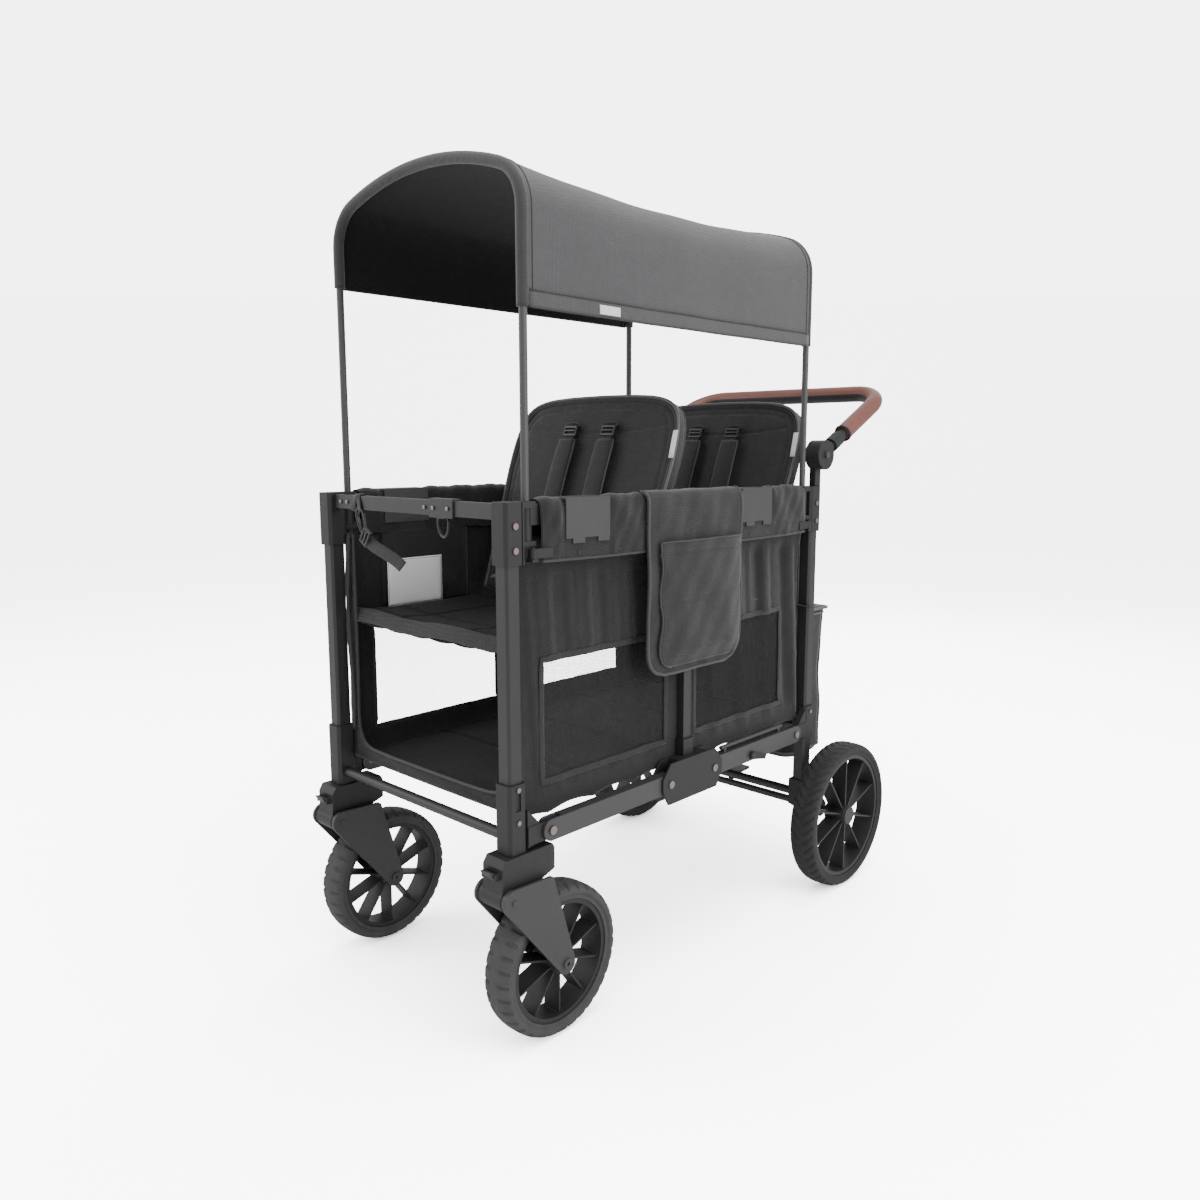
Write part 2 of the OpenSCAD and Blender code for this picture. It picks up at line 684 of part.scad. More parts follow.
module caster_fork() difference() {
    union() {
        for (x = [post_x - fork_out, post_x + fork_in]) plate_x(x, x + fork_t) fork_outline();
        for (x = [post_x - fork_out, post_x + head_half + slide_gap])
            rod_x(x, x + fork_out - head_half - slide_gap, knuckle_y, knuckle_z, 17);
        // bridges over the tyre
        rod_x(post_x - fork_out, post_x + fork_out,
            front_wheel_y + bridge_l * cos(fork_angle), front_wheel_z + bridge_l * sin(fork_angle), 9);
        rod_x(post_x - fork_out, post_x + fork_out, -post_y + 48, knuckle_z - 4, 7);
        // knuckle bolt and axle bolt with their heads
        rod_x(post_x - fork_out - 2, post_x + fork_out + 2, knuckle_y, knuckle_z, bolt_r);
        rod_x(post_x - fork_out, post_x + fork_out, front_wheel_y, front_wheel_z, front_axle_r);
        for (x = [post_x - fork_out - 3, post_x + fork_out])
            rod_x(x, x + 3, front_wheel_y, front_wheel_z, 9);
    }
    for (x = [post_x - fork_out - 4, post_x + fork_out])
        rod_x(x, x + 4, front_wheel_y, front_wheel_z, 3);
}

module caster_head_at(s) color(plastic) at_mid() side(s) caster_head();

module caster_fork_at(s) color(plastic) at_mid() side(s) caster_fork();

module swivel_lock_at(s) color(rim_grey) at_mid() side(s) swivel_lock();

module wheel_rim(r, w, bore, hub_w) {
    band_r = r - tyre_band;
    difference() {
        union() {
            difference() {
                rod_x(-w / 2 + 6, w / 2 - 6, 0, 0, band_r);
                rod_x(-w / 2, w / 2, 0, 0, band_r - rim_band);
            }
            rod_x(-hub_w / 2, hub_w / 2, 0, 0, hub_r);
            for (i = [0:spokes - 1]) rotate([360 * i / spokes, 0, 0])
                span([-w / 2 + 11, -spoke_t / 2, hub_r - 2],
                    [w / 2 - 11, spoke_t / 2, band_r - rim_band + 1]);
        }
        rod_x(-w, w, 0, 0, bore + run_gap);
    }
}

module wheel_tyre(r, w) rotate([0, 90, 0]) rotate_extrude($fn = 96) {
    difference() {
        union() {
            translate([r - tyre_band + run_gap, -w / 2 + 4]) square([tyre_band - 12, w - 8]);
            translate([r - 14, -w / 2 + 12]) square([14, w - 24]);
            for (z = [-w / 2 + 12, w / 2 - 12]) translate([r - 12, z]) circle(12);
        }
        translate([0, -w]) square([r - tyre_band + run_gap, 2 * w]);
    }
}

module front_wheel_at(s) side(s) translate([post_x, front_wheel_y, front_wheel_z]) children();

module rear_wheel_at(s) side(s) translate([rear_wheel_x, rear_wheel_y, rear_wheel_z]) children();

module front_rim(s) color(plastic) at_mid() front_wheel_at(s)
    wheel_rim(front_tyre_r, front_tyre_w, front_axle_r, front_tyre_w);

module rear_rim(s) color(rim_grey) at_mid() rear_wheel_at(s) {
    wheel_rim(rear_tyre_r, rear_tyre_w, axle_r, rear_tyre_w - 10);
    // hub cap
    rod_x(rear_tyre_w / 2 - 5, rear_tyre_w / 2 - 1, 0, 0, hub_r - 1);
}

module front_tyre(s) color(rubber) at_mid() front_wheel_at(s) wheel_tyre(front_tyre_r, front_tyre_w);

module rear_tyre(s) color(rubber) at_mid() rear_wheel_at(s) wheel_tyre(rear_tyre_r, rear_tyre_w);

// ---- handle ----

module on_handle() translate([0, handle_y, handle_z]) rotate([handle_tilt, 0, 0]) children();

// A bent tube of the handle's outline between two distances from the pivots
module handle_path(r, start) {
    bend_l = handle_reach - handle_bend_r;
    both_sides() {
        translate([handle_x, start, 0]) rotate([-90, 0, 0]) cylinder(h = bend_l - start, r = r);
        translate([handle_x - handle_bend_r, bend_l, 0])
            rotate_extrude(angle = 90) translate([handle_bend_r, 0]) circle(r);
    }
    rod_x(-handle_x + handle_bend_r, handle_x - handle_bend_r, handle_reach, 0, r);
}

module handle_tube() color(frame_grey) at_mid() on_handle() handle_path(handle_tube_r, knob_r + 4);

module handle_grip() color(leather) at_mid() on_handle() difference() {
    handle_path(grip_r, grip_start);
    handle_path(handle_tube_r + run_gap, grip_start - 1);
}

module handle_collars() color(plastic) at_mid() on_handle() both_sides() difference() {
    translate([handle_x, collar_start, 0]) rotate([-90, 0, 0])
        cylinder(h = collar_end - collar_start, r = handle_tube_r + 4.5);
    translate([handle_x, collar_start - 1, 0]) rotate([-90, 0, 0])
        cylinder(h = collar_end, r = handle_tube_r + run_gap);
}

module handle_knobs() color(plastic) at_mid() on_handle() both_sides() difference() {
    union() {
        rod_x(knob_split + slide_gap, handle_x + 14, 0, 0, knob_r);
        span([knob_split + slide_gap, 0, -12], [handle_x + 11, knob_r + 4, 12]);
    }
    rod_x(handle_x + 5, handle_x + 15, 0, 0, button_r + run_gap);
    // bore for the pivot's spigot
    rod_x(knob_split - 1, knob_split + 7, 0, 0, 10 + run_gap);
}

module handle_pivots() color(plastic) at_mid() both_sides() {
    rod_x(post_x + 1, knob_split, handle_y, handle_z, knob_r);
    rod_x(knob_split, knob_split + 6, handle_y, handle_z, 10);
    span([post_x + 1, handle_y - 11, post_top], [knob_split, handle_y + 9.5, handle_z]);
}

module handle_button(s) color(rim_grey) at_mid() side(s) on_handle()
    rod_x(handle_x + 9.5, handle_x + 9.5 + button_travel + 5, 0, 0, button_r);

// ---- canopy ----

module hoop(y) {
    both_sides() {
        rod_z(pole_x, y, pole_bottom, shoulder_z, pole_r);
        translate([shoulder_x, y, shoulder_z]) rotate([90, 0, 0])
            rotate_extrude(angle = shoulder_a) translate([hoop_shoulder_r, 0]) circle(pole_r, $fn = 32);
    }
    translate([0, y, crown_z]) rotate([90, 0, 0]) rotate([0, 0, shoulder_a + crown_trim_a])
        rotate_extrude(angle = 180 - 2 * (shoulder_a + crown_trim_a))
            translate([hoop_crown_r, 0]) circle(pole_r, $fn = 32);
}

module rear_hoop() color(frame_grey) at_mid() hoop(pole_y);

module front_hoop() color(frame_grey) at_mid() hoop(-pole_y);

// Points of the canopy's outline, grown outwards from the line of the hoops, from the edge
// on the +X side over the crown to the edge on the other side
function arch(grow) = concat(
    [[pole_x + grow, near_hem_z]],
    [for (a = [0:shoulder_a / 8:shoulder_a + 0.1])
        [shoulder_x, shoulder_z] + (hoop_shoulder_r + grow) * [cos(a), sin(a)]],
    [for (i = [1:23]) let (a = shoulder_a + (180 - 2 * shoulder_a) * i / 24)
        [0, crown_z] + (hoop_crown_r + grow) * [cos(a), sin(a)]],
    [for (i = [0:8]) let (a = 180 - shoulder_a + shoulder_a * i / 8)
        [-shoulder_x, shoulder_z] + (hoop_shoulder_r + grow) * [cos(a), sin(a)]],
    [[-pole_x - grow, far_hem_z]]);

function reversed(list) = [for (i = [len(list) - 1:-1:0]) list[i]];

module canopy_sheet() color(canopy_grey) at_mid() {
    sheet_y = pole_y + cover_r - 2;
    rotate([90, 0, 0]) translate([0, 0, -sheet_y]) linear_extrude(2 * sheet_y)
        polygon(concat(arch(sheet_in + canopy_t), reversed(arch(sheet_in))));
}

// ---- tub, seats and bags ----

module tub_walls() color(cloth) at_mid() {
    both_sides() {
        span([tub_x - cloth_t, -tub_y, floor_z], [tub_x, tub_y, casting_bottom - 8]);
        span([tub_x - cloth_t, -wrap_end_y, casting_bottom - 9], [tub_x, wrap_end_y, tub_top]);
        span([wrap_in, -wrap_end_y, wrap_low], [tub_x, wrap_end_y, tub_top]);
        difference() {
            span([wrap_in, -wrap_end_y, wrap_low], [wrap_out, wrap_end_y, post_top]);
            span([wrap_in + wrap_t, -wrap_end_y - 1, wrap_low - 1],
                [wrap_out - wrap_t, wrap_end_y + 1, post_top - wrap_t]);
        }
    }
    span([-tub_x, tub_y - cloth_t, floor_z], [tub_x, tub_y, casting_bottom - 8]);
    span([-casting_face_x + 8, tub_y - cloth_t, casting_bottom - 9],
        [casting_face_x - 8, tub_y, upper_bar_z - upper_bar_h / 2 - 6]);
    span([-tub_x, -tub_y, floor_z], [tub_x, -tub_y + cloth_t, floor_z + 28]);
}

module tub_floor() color(cloth) at_mid()
    span([-tub_x + cloth_t + slide_gap, -tub_y + cloth_t + slide_gap, floor_z],
        [tub_x - cloth_t - slide_gap, tub_y - cloth_t - slide_gap, floor_z + 12]);

module seat_bases() color(cloth) at_mid() for (y = [front_hinge_y, front_hinge_y + seat_pitch])
    span([-tub_x + cloth_t + slide_gap, y - seat_depth, seat_z - seat_base_t],
        [tub_x - cloth_t - slide_gap, y - seat_rod_r - slide_gap, seat_z]);

module seat_back_outline() hull() {
    for (s = [-1, 1]) {
        translate([s * (seat_back_half_w - 60), seat_back_l - 60]) circle(60, $fn = 48);
        translate([s * (seat_back_half_w - 40), seat_back_l - 120]) circle(40, $fn = 48);
        translate([s * (wrap_in - clip_t - slide_gap - 20), 10]) square(4, center = true);
    }
}

module seat_back(y) translate([0, y, seat_z]) rotate([-seat_lean, 0, 0]) {
    translate([0, seat_back_t - seat_rod_r, 0]) rotate([90, 0, 0])
        linear_extrude(seat_back_t) intersection() {
            seat_back_outline();
            translate([-seat_back_half_w, 7]) square([2 * seat_back_half_w, seat_back_l]);
        }
    rod_x(-wrap_in + 30, wrap_in - 30, 0, 0, seat_rod_r);
    span([-wrap_in + 40, -seat_rod_r, 0], [wrap_in - 40, seat_rod_r, 10]);
}

module front_seat_back() color(cloth) at_mid() seat_back(front_hinge_y);

module rear_seat_back() color(cloth) at_mid() seat_back(front_hinge_y + seat_pitch);

module rounded_panel(w, h, r) hull() {
    translate([-w / 2, -1]) square([w, 1]);
    for (s = [-1, 1]) translate([s * (w / 2 - r), -h + r]) circle(r, $fn = 48);
}

module side_pouch() color(cloth) at_mid() {
    translate([pouch_x, 0, post_top]) rotate([90, 0, 90])
        linear_extrude(pouch_t) rounded_panel(pouch_w, pouch_h, 45);
    // flap that hooks the pouch over the wrapped rail
    span([wrap_in, -pouch_w / 2, post_top + slide_gap],
        [pouch_x + pouch_t, pouch_w / 2, post_top + slide_gap + cloth_t]);
    span([pouch_x, -pouch_w / 2, post_top - 2], [pouch_x + pouch_t, pouch_w / 2, post_top + 1]);
}

basket_back = basket_front + basket_l;
basket_top = basket_z + basket_h;

module rear_basket() color(cloth) at_mid() difference() {
    span([-basket_half_w, basket_front, basket_z], [basket_half_w, basket_back, basket_top]);
    span([-basket_half_w + cloth_t, basket_front + cloth_t, basket_z + cloth_t],
        [basket_half_w - cloth_t, basket_back - cloth_t, basket_top + 1]);
}

module basket_lid() color(rim_grey) at_mid() {
    span([-basket_half_w - 2, basket_front + 5, basket_top + slide_gap],
        [basket_half_w + 2, basket_back + 2, basket_top + lid_t]);
    rod_x(-basket_half_w - 2, basket_half_w + 2, basket_front + 5, basket_top + lid_t / 2 + slide_gap / 2,
        (lid_t - slide_gap) / 2);
}

rear_posts();
rear_castings();
rear_boots();
rear_cross_bars();
axle_carriers();
rear_axle();
rear_fasteners();
handle_pivots();
rear_basket();
basket_lid();
tub_walls();
tub_floor();
seat_bases();
front_seat_back();
rear_seat_back();
rear_tyre(1);  // rear_tyre_near
rear_rim(1);  // rear_rim_near
rear_tyre(-1);  // rear_tyre_far
rear_rim(-1);  // rear_rim_far
brake_bar();
handle_tube();
handle_grip();
handle_knobs();
handle_collars();
handle_button(1);  // handle_button_near
handle_button(-1);  // handle_button_far
rear_lower_rails();
rail_latches();
centre_plates();
mid_posts();
mid_brackets();
fold_pins();
side_pouch();
front_lower_rails();
rear_top_rails();
rear_seat_clips();
front_top_rails();
front_seat_clips();
front_posts();
front_castings();
front_boots();
front_cross_bars();
front_fasteners();
caster_head_at(1);  // caster_head_near
caster_head_at(-1);  // caster_head_far
caster_fork_at(1);  // caster_fork_near
caster_fork_at(-1);  // caster_fork_far
front_tyre(1);  // front_tyre_near
front_rim(1);  // front_rim_near
front_tyre(-1);  // front_tyre_far
front_rim(-1);  // front_rim_far
swivel_lock_at(1);  // swivel_lock_near
swivel_lock_at(-1);  // swivel_lock_far
rear_hoop();
front_hoop();
canopy_sheet();
lever_at(1, 1);  // rear_lever_near
lever_at(-1, 1);  // rear_lever_far
lever_at(1, -1);  // front_lever_near
lever_at(-1, -1);  // front_lever_far
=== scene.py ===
"""Folding two-seat pull wagon: its cloth, leather, tyres and finishes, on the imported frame."""
import math

import bmesh
import bpy
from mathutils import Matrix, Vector


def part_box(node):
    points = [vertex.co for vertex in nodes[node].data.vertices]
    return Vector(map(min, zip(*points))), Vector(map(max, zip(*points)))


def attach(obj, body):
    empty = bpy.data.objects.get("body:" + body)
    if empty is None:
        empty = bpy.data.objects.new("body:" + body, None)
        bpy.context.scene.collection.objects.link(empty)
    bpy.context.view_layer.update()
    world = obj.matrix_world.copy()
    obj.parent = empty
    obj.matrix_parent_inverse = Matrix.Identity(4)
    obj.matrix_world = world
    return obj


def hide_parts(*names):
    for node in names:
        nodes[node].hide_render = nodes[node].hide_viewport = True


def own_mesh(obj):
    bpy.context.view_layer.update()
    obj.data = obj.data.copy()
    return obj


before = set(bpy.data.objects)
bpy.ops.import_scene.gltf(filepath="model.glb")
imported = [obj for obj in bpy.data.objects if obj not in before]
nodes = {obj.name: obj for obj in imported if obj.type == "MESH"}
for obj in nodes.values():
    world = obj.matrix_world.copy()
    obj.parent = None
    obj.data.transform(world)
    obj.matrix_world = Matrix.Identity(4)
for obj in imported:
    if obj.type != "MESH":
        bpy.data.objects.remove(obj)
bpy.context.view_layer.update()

# ---- Studio ----
# A wide paper floor that curves up behind, four soft square lights, and the camera beside the
# open end's corner. Paper and sky show whiter to the camera than the light that they give back.

# sizes below are millimetres from the middle of the four posts, and z from the floor
MIDDLE_Y = (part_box("front_castings")[0].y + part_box("rear_castings")[1].y) / 2


def at(x, y, z):
    return Vector((x / 1000, MIDDLE_Y + y / 1000, z / 1000))


class Wire:
    """A socket of a finish. Arithmetic on it adds the Math nodes."""

    def __init__(self, tree, socket):
        self.tree, self.socket = tree, socket

    def math(self, operation, *values):
        node = self.tree.nodes.new("ShaderNodeMath")
        node.operation = operation
        for slot, value in zip(node.inputs, values):
            if isinstance(value, Wire):
                self.tree.links.new(value.socket, slot)
            else:
                slot.default_value = value
        return Wire(self.tree, node.outputs[0])

    def __add__(self, other):
        return self.math("ADD", self, other)

    def __sub__(self, other):
        return self.math("SUBTRACT", self, other)

    def __rsub__(self, other):
        return self.math("SUBTRACT", other, self)

    def __mul__(self, other):
        return self.math("MULTIPLY", self, other)

    def __gt__(self, other):
        return self.math("GREATER_THAN", self, other)

    def __lt__(self, other):
        return self.math("LESS_THAN", self, other)

    __radd__, __rmul__ = __add__, __mul__

    def sin(self):
        return self.math("SINE", self)

    def clamped(self):
        return self.math("MINIMUM", self.math("MAXIMUM", self, 0.0), 1.0)


class Finish:
    """One material. node() makes any node from its type, settings and socket values."""

    def __init__(self, name):
        self.material = bpy.data.materials.new(name)
        self.material.use_nodes = True
        self.tree = self.material.node_tree
        self.tree.nodes.clear()

    def node(self, kind, settings=None, values=None, out=0):
        made = self.tree.nodes.new(kind)
        for key, value in (settings or {}).items():
            if key == "stops":
                ramp = made.color_ramp
                for i, (place, colour) in enumerate(value):
                    stop = ramp.elements[i] if i < 2 else ramp.elements.new(place)
                    stop.position, stop.color = place, colour
            else:
                setattr(made, key, value)
        for key, value in (values or {}).items():
            if isinstance(value, Wire):
                self.tree.links.new(value.socket, made.inputs[key])
            else:
                made.inputs[key].default_value = value
        return Wire(self.tree, made.outputs[out]) if made.outputs else None

    def place(self):
        return self.node("ShaderNodeTexCoord", out="Object")

    def axes(self):
        place = self.place()
        split = self.node("ShaderNodeSeparateXYZ", values={"Vector": place})
        return [Wire(self.tree, s) for s in split.socket.node.outputs]

    def noise(self, scale, detail=3.0):
        return self.node("ShaderNodeTexNoise", {},
                         {"Vector": self.place(), "Scale": scale, "Detail": detail})

    def mix(self, factor, a, b):
        return self.node("ShaderNodeMix", {"data_type": "RGBA"}, {0: factor, 6: a, 7: b}, out=2)

    def bump(self, height, distance, strength=1.0, normal=None):
        values = {"Height": height, "Distance": distance, "Strength": strength}
        if normal:
            values["Normal"] = normal
        return self.node("ShaderNodeBump", {}, values)

    def surface(self, **values):
        names = {key.replace("_", " "): value for key, value in values.items()}
        shader = self.node("ShaderNodeBsdfPrincipled", {}, names)
        self.node("ShaderNodeOutputMaterial", {}, {"Surface": shader})
        return self.material


def link(name, mesh, material, smooth=True):
    mesh.validate()
    mesh.polygons.foreach_set("use_smooth", [smooth] * len(mesh.polygons))
    if material:
        mesh.materials.append(material)
    made = bpy.data.objects.new(name, mesh)
    bpy.context.scene.collection.objects.link(made)
    return made


def mesh_of(name, points, faces, material, smooth=True):
    mesh = bpy.data.meshes.new(name)
    mesh.from_pydata([tuple(p) for p in points], [], faces)
    return link(name, mesh, material, smooth)


def grid(name, point, columns, rows, material, thick=0.0, skip=None):
    """A sheet: point(u, v) gives each place in metres, and skip(u, v) leaves a cell out."""
    points = [point(i / columns, j / rows) for j in range(rows + 1) for i in range(columns + 1)]
    faces = []
    for j in range(rows):
        for i in range(columns):
            if skip and skip((i + 0.5) / columns, (j + 0.5) / rows):
                continue
            a = j * (columns + 1) + i
            faces.append((a, a + 1, a + columns + 2, a + columns + 1))
    made = mesh_of(name, points, faces, material)
    if skip:
        cut = bmesh.new()
        cut.from_mesh(made.data)
        bmesh.ops.delete(cut, geom=[v for v in cut.verts if not v.link_faces], context="VERTS")
        cut.to_mesh(made.data)
        cut.free()
    if thick:
        shell = made.modifiers.new("Thickness", "SOLIDIFY")
        shell.thickness, shell.offset = thick, 0.0
    return made


SHOWN_WHITER, PAPER_WHITE, SKY_WHITE = 4.6, 0.93, 0.95
studio = Finish("studio_floor")
seen = studio.node("ShaderNodeLightPath")
paper = studio.node("ShaderNodeBsdfDiffuse", {}, {"Color": seen * SHOWN_WHITER + PAPER_WHITE})
studio.node("ShaderNodeOutputMaterial", {}, {"Surface": paper})
FLOOR_HALF, FLOOR_Z, WALL_R = 9.0, -0.0005, 3.0


def floor_point(u, v):
    run = v * (2 * FLOOR_HALF + WALL_R * math.pi / 2) - FLOOR_HALF
    x = (u - 0.5) * 4 * FLOOR_HALF
    if run < FLOOR_HALF:
        return Vector((x, run, FLOOR_Z))
    turn = (run - FLOOR_HALF) / WALL_R
    return Vector((x, FLOOR_HALF + WALL_R * math.sin(turn),
                   WALL_R * (1 - math.cos(turn)) + FLOOR_Z))


floor = grid("studio_floor", floor_point, 2, 80, studio.material)
floor.rotation_euler = (0, 0, math.radians(43))

world = bpy.data.worlds.new("studio")
bpy.context.scene.world = world
world.use_nodes = True
sky = world.node_tree
sky.nodes["Background"].inputs["Color"].default_value = (1, 1, 1, 1)
shown = Wire(sky, sky.nodes.new("ShaderNodeLightPath").outputs[0]) * SHOWN_WHITER + SKY_WHITE
sky.links.new(shown.socket, sky.nodes["Background"].inputs["Strength"])
LIT_MIDDLE = Vector((0, 0, 0.7))
for name, place, size, power in (
        ("top", (0.6, -0.6, 3.6), 3.0, 70), ("left", (-2.6, -2.6, 2.0), 2.2, 50),
        ("right", (3.2, 0.4, 1.8), 2.2, 62), ("back", (-1.0, 3.2, 2.4), 2.0, 30)):
    lamp = bpy.data.lights.new(name, "AREA")
    lamp.energy, lamp.size, lamp.shape = power, size, "SQUARE"
    lit = bpy.data.objects.new(name, lamp)
    lit.location = place
    lit.rotation_euler = (LIT_MIDDLE - lit.location).to_track_quat("-Z", "Y").to_euler()
    bpy.context.scene.collection.objects.link(lit)

YAW, PITCH = math.radians(43.02), math.radians(8.29)
camera_data = bpy.data.cameras.new("camera")
camera_data.sensor_width, camera_data.lens = 36, 29.25
camera_data.shift_x, camera_data.shift_y = -0.00525, -0.00817
camera = bpy.data.objects.new("camera", camera_data)
camera.location = at(1314.4, -1358.8, 943.7)
forward = Vector((-math.sin(YAW) * math.cos(PITCH), math.cos(YAW) * math.cos(PITCH),
                  -math.sin(PITCH)))
camera.rotation_euler = forward.to_track_quat("-Z", "Y").to_euler()
bpy.context.scene.collection.objects.link(camera)
bpy.context.scene.camera = camera

# ---- Posts, rails, bars and poles ----
# Aluminium and steel tube with a matte black powder coat, fine as orange peel, which is rubbed
# a little paler along its corners.


def grey(value):
    return (value, value, value * 1.04, 1.0)


def rounded(finish, radius):
    """The bevelled normal of a hard piece, and how sharp its corner is there, from 0 to 1."""
    bevel = finish.node("ShaderNodeBevel", {"samples": 4}, {"Radius": radius})
    flat = finish.node("ShaderNodeNewGeometry", out="Normal")
    dot = finish.node("ShaderNodeVectorMath", {"operation": "DOT_PRODUCT"},
                      {0: bevel, 1: flat}, out="Value")
    return bevel, ((1.0 - dot) * 5.0).clamped()


def powder_coat(name, tone, rough):
    f = Finish(name)
    bevel, edge = rounded(f, 0.0012)
    peel = f.noise(900, 2)
    cloud = f.noise(9, 3)
    rub = (edge * f.noise(60, 3) * 1.6).clamped()
    colour = f.mix(rub, f.mix(cloud, grey(tone * 0.85), grey(tone * 1.15)), grey(tone * 2.6))
    return f.surface(Base_Color=colour, Roughness=rough + cloud * 0.12 - rub * 0.1,
                     Normal=f.bump(peel, 0.0003, 0.35, bevel), Specular_IOR_Level=0.5)


def wear(material, *names):
    for name in names:
        slots = nodes[name].material_slots
        if slots:
            for slot in slots:
                slot.material = material
        else:
            nodes[name].data.materials.append(material)


coat = powder_coat("black_powder_coat", 0.014, 0.42)
wear(coat, "rear_posts", "front_posts", "mid_posts", "rear_cross_bars", "front_cross_bars",
     "rear_top_rails", "front_top_rails", "handle_tube")
# The lower rails wear the same black coat, painted paler: painted bounce light from the floor.
wear(powder_coat("rail_coat_painted_floor_light", 0.034, 0.4), "rear_lower_rails", "front_lower_rails")
wear(powder_coat("pole_coat", 0.05, 0.36), "rear_hoop", "front_hoop")

# ---- Moulded castings, boots, brackets and levers ----
# Glass-filled nylon, black and matte with a spark-eroded grain. The seat clips with the handle's
# and casters' catches, and the rear rims are moulded in lighter greys. The caster forks are the
# same black nylon, painted paler: painted bounce light from the floor.


def moulded(name, tone, rough, grain=420):
    f = Finish(name)
    bevel, edge = rounded(f, 0.0015)
    speck = f.noise(grain, 4)
    cloud = f.noise(14, 3)
    rub = (edge * f.noise(80, 3)).clamped()
    colour = f.mix(rub, f.mix(cloud, grey(tone * 0.88), grey(tone * 1.12)), grey(tone * 2.0))
    return f.surface(Base_Color=colour, Roughness=rough + speck * 0.14 - rub * 0.08,
                     Normal=f.bump(speck, 0.0006, 0.3, bevel), Specular_IOR_Level=0.45)


nylon = moulded("black_nylon", 0.011, 0.5)
wear(nylon, "rear_castings", "front_castings", "rear_boots", "front_boots", "axle_carriers",
     "handle_pivots", "handle_knobs", "handle_collars", "brake_bar", "centre_plates",
     "mid_brackets", "rail_latches", "caster_head_near", "caster_head_far",
     "front_rim_near", "front_rim_far", "rear_lever_near", "rear_lever_far",
     "front_lever_near", "front_lever_far")
# The caster forks are the black nylon, painted paler: painted bounce light from the floor.
wear(moulded("fork_nylon_painted_floor_light", 0.032, 0.46), "caster_fork_near", "caster_fork_far")
wear(moulded("grey_nylon", 0.038, 0.42), "rear_seat_clips", "front_seat_clips", "swivel_lock_near",
     "swivel_lock_far", "handle_button_near", "handle_button_far")
wear(moulded("rim_grey_nylon", 0.02, 0.46), "rear_rim_near", "rear_rim_far")

# ---- Bolts, pins and the rear axle ----
# Zinc-plated steel with a warm passivated tint, duller in patches. The axle is a coated steel bar.

BRIGHT_ZINC, DULL_ZINC = (0.34, 0.26, 0.24, 1), (0.2, 0.155, 0.145, 1)
zinc = Finish("warm_zinc")
patch = zinc.noise(160, 4)
bolt_metal = zinc.surface(
    Base_Color=zinc.mix(patch, BRIGHT_ZINC, DULL_ZINC), Metallic=1.0,
    Roughness=0.3 + patch * 0.22, Normal=zinc.bump(zinc.noise(1500, 2), 0.0002, 0.2))
wear(bolt_metal, "rear_fasteners", "front_fasteners", "fold_pins")
wear(powder_coat("axle_coat", 0.02, 0.4), "rear_axle")

# ---- Tyres ----
# Solid foamed rubber, snapped over each rim. The front pair have square blocks round the
# shoulders and a ribbed crown, and the larger rear pair have grooves swept back from the middle.


def rubber(name, low, high):
    f = Finish(name)
    dust = f.noise(40, 5)
    return f.surface(
        Base_Color=f.mix(dust, grey(low), grey(high)), Roughness=0.68 + dust * 0.2,
        Normal=f.bump(f.noise(700, 3), 0.0005, 0.35), Specular_IOR_Level=0.35)


front_rubber = rubber("front_tyre_rubber", 0.03, 0.07)
rear_rubber = rubber("rear_tyre_rubber", 0.014, 0.032)


def ramp(value, low, high):
    share = min(1.0, max(0.0, (value - low) / (high - low)))
    return share * share * (3 - 2 * share)


def block_tread(share, side):
    """Depth of the front tread, from 0 to 1, at a share of a block's length, side mm across."""
    gap = ramp(abs(share - 0.5), 0.34, 0.42)
    across = ramp(abs(side), 9, 11) * (1 - ramp(abs(side), 26.5, 28.5))
    rib = ramp(1.6 - abs(abs(side) - 5.5), 0, 1.2) * 0.6
    return max(gap * across, rib * (1 - ramp(abs(side), 8, 9)))


def swept_tread(share, side):
    """Depth of the rear tread: grooves that lean back from the middle to the shoulder."""
    lean = (share + abs(side) * 0.045 + (0.5 if side > 0 else 0)) % 1
    gap = ramp(abs(lean - 0.5), 0.36, 0.43)
    across = ramp(abs(side), 3, 5) * (1 - ramp(abs(side), 25.5, 27.5))
    return max(gap * across, ramp(1.4 - abs(side), 0, 1.2) * 0.7)


def power(value, exponent):
    """A power of a number that keeps its sign, which squares off a sine or a cosine."""
    return math.copysign(abs(value) ** exponent, value)


TYRE_DEEP, CROWN_DEEP, CROWN_TURNS, BLOCK_STEPS = 0.0238, 0.0135, 22, 8


def tyre(name, node, body, blocks, tread, depth, material):
    low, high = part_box(node)
    middle, radius = (low + high) / 2, (high.z - low.z) / 2
    half, bead = (high.x - low.x) / 2, radius - TYRE_DEEP
    section = [(-half + 0.004, bead), (-half + 0.0035, bead + 0.006),
               (-half + 0.0008, bead + 0.0085)]
    for k in range(CROWN_TURNS + 1):
        a = math.pi * (1 - k / CROWN_TURNS)
        section.append((power(math.cos(a), 0.72) * half,
                        radius - CROWN_DEEP + CROWN_DEEP * math.sin(a) ** 0.62))
    section += [(-x, r) for x, r in reversed(section[:3])]
    steps = blocks * BLOCK_STEPS
    points, faces = [], []
    for i in range(steps):
        a, share = 2 * math.pi * i / steps, (i % BLOCK_STEPS + 0.5) / BLOCK_STEPS
        for x, r in section:
            if r > radius - CROWN_DEEP:
                r -= depth * tread(share, x * 1000)
            points.append(middle + Vector((x, r * math.cos(a), r * math.sin(a))))
    n = len(section)
    for i in range(steps):
        j = (i + 1) % steps
        for k in range(n):
            m = (k + 1) % n
            faces.append((i * n + k, i * n + m, j * n + m, j * n + k))
    made = mesh_of(name, points, faces, material)
    made.data.set_sharp_from_angle(angle=math.radians(38))
    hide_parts(node)
    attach(made, body)


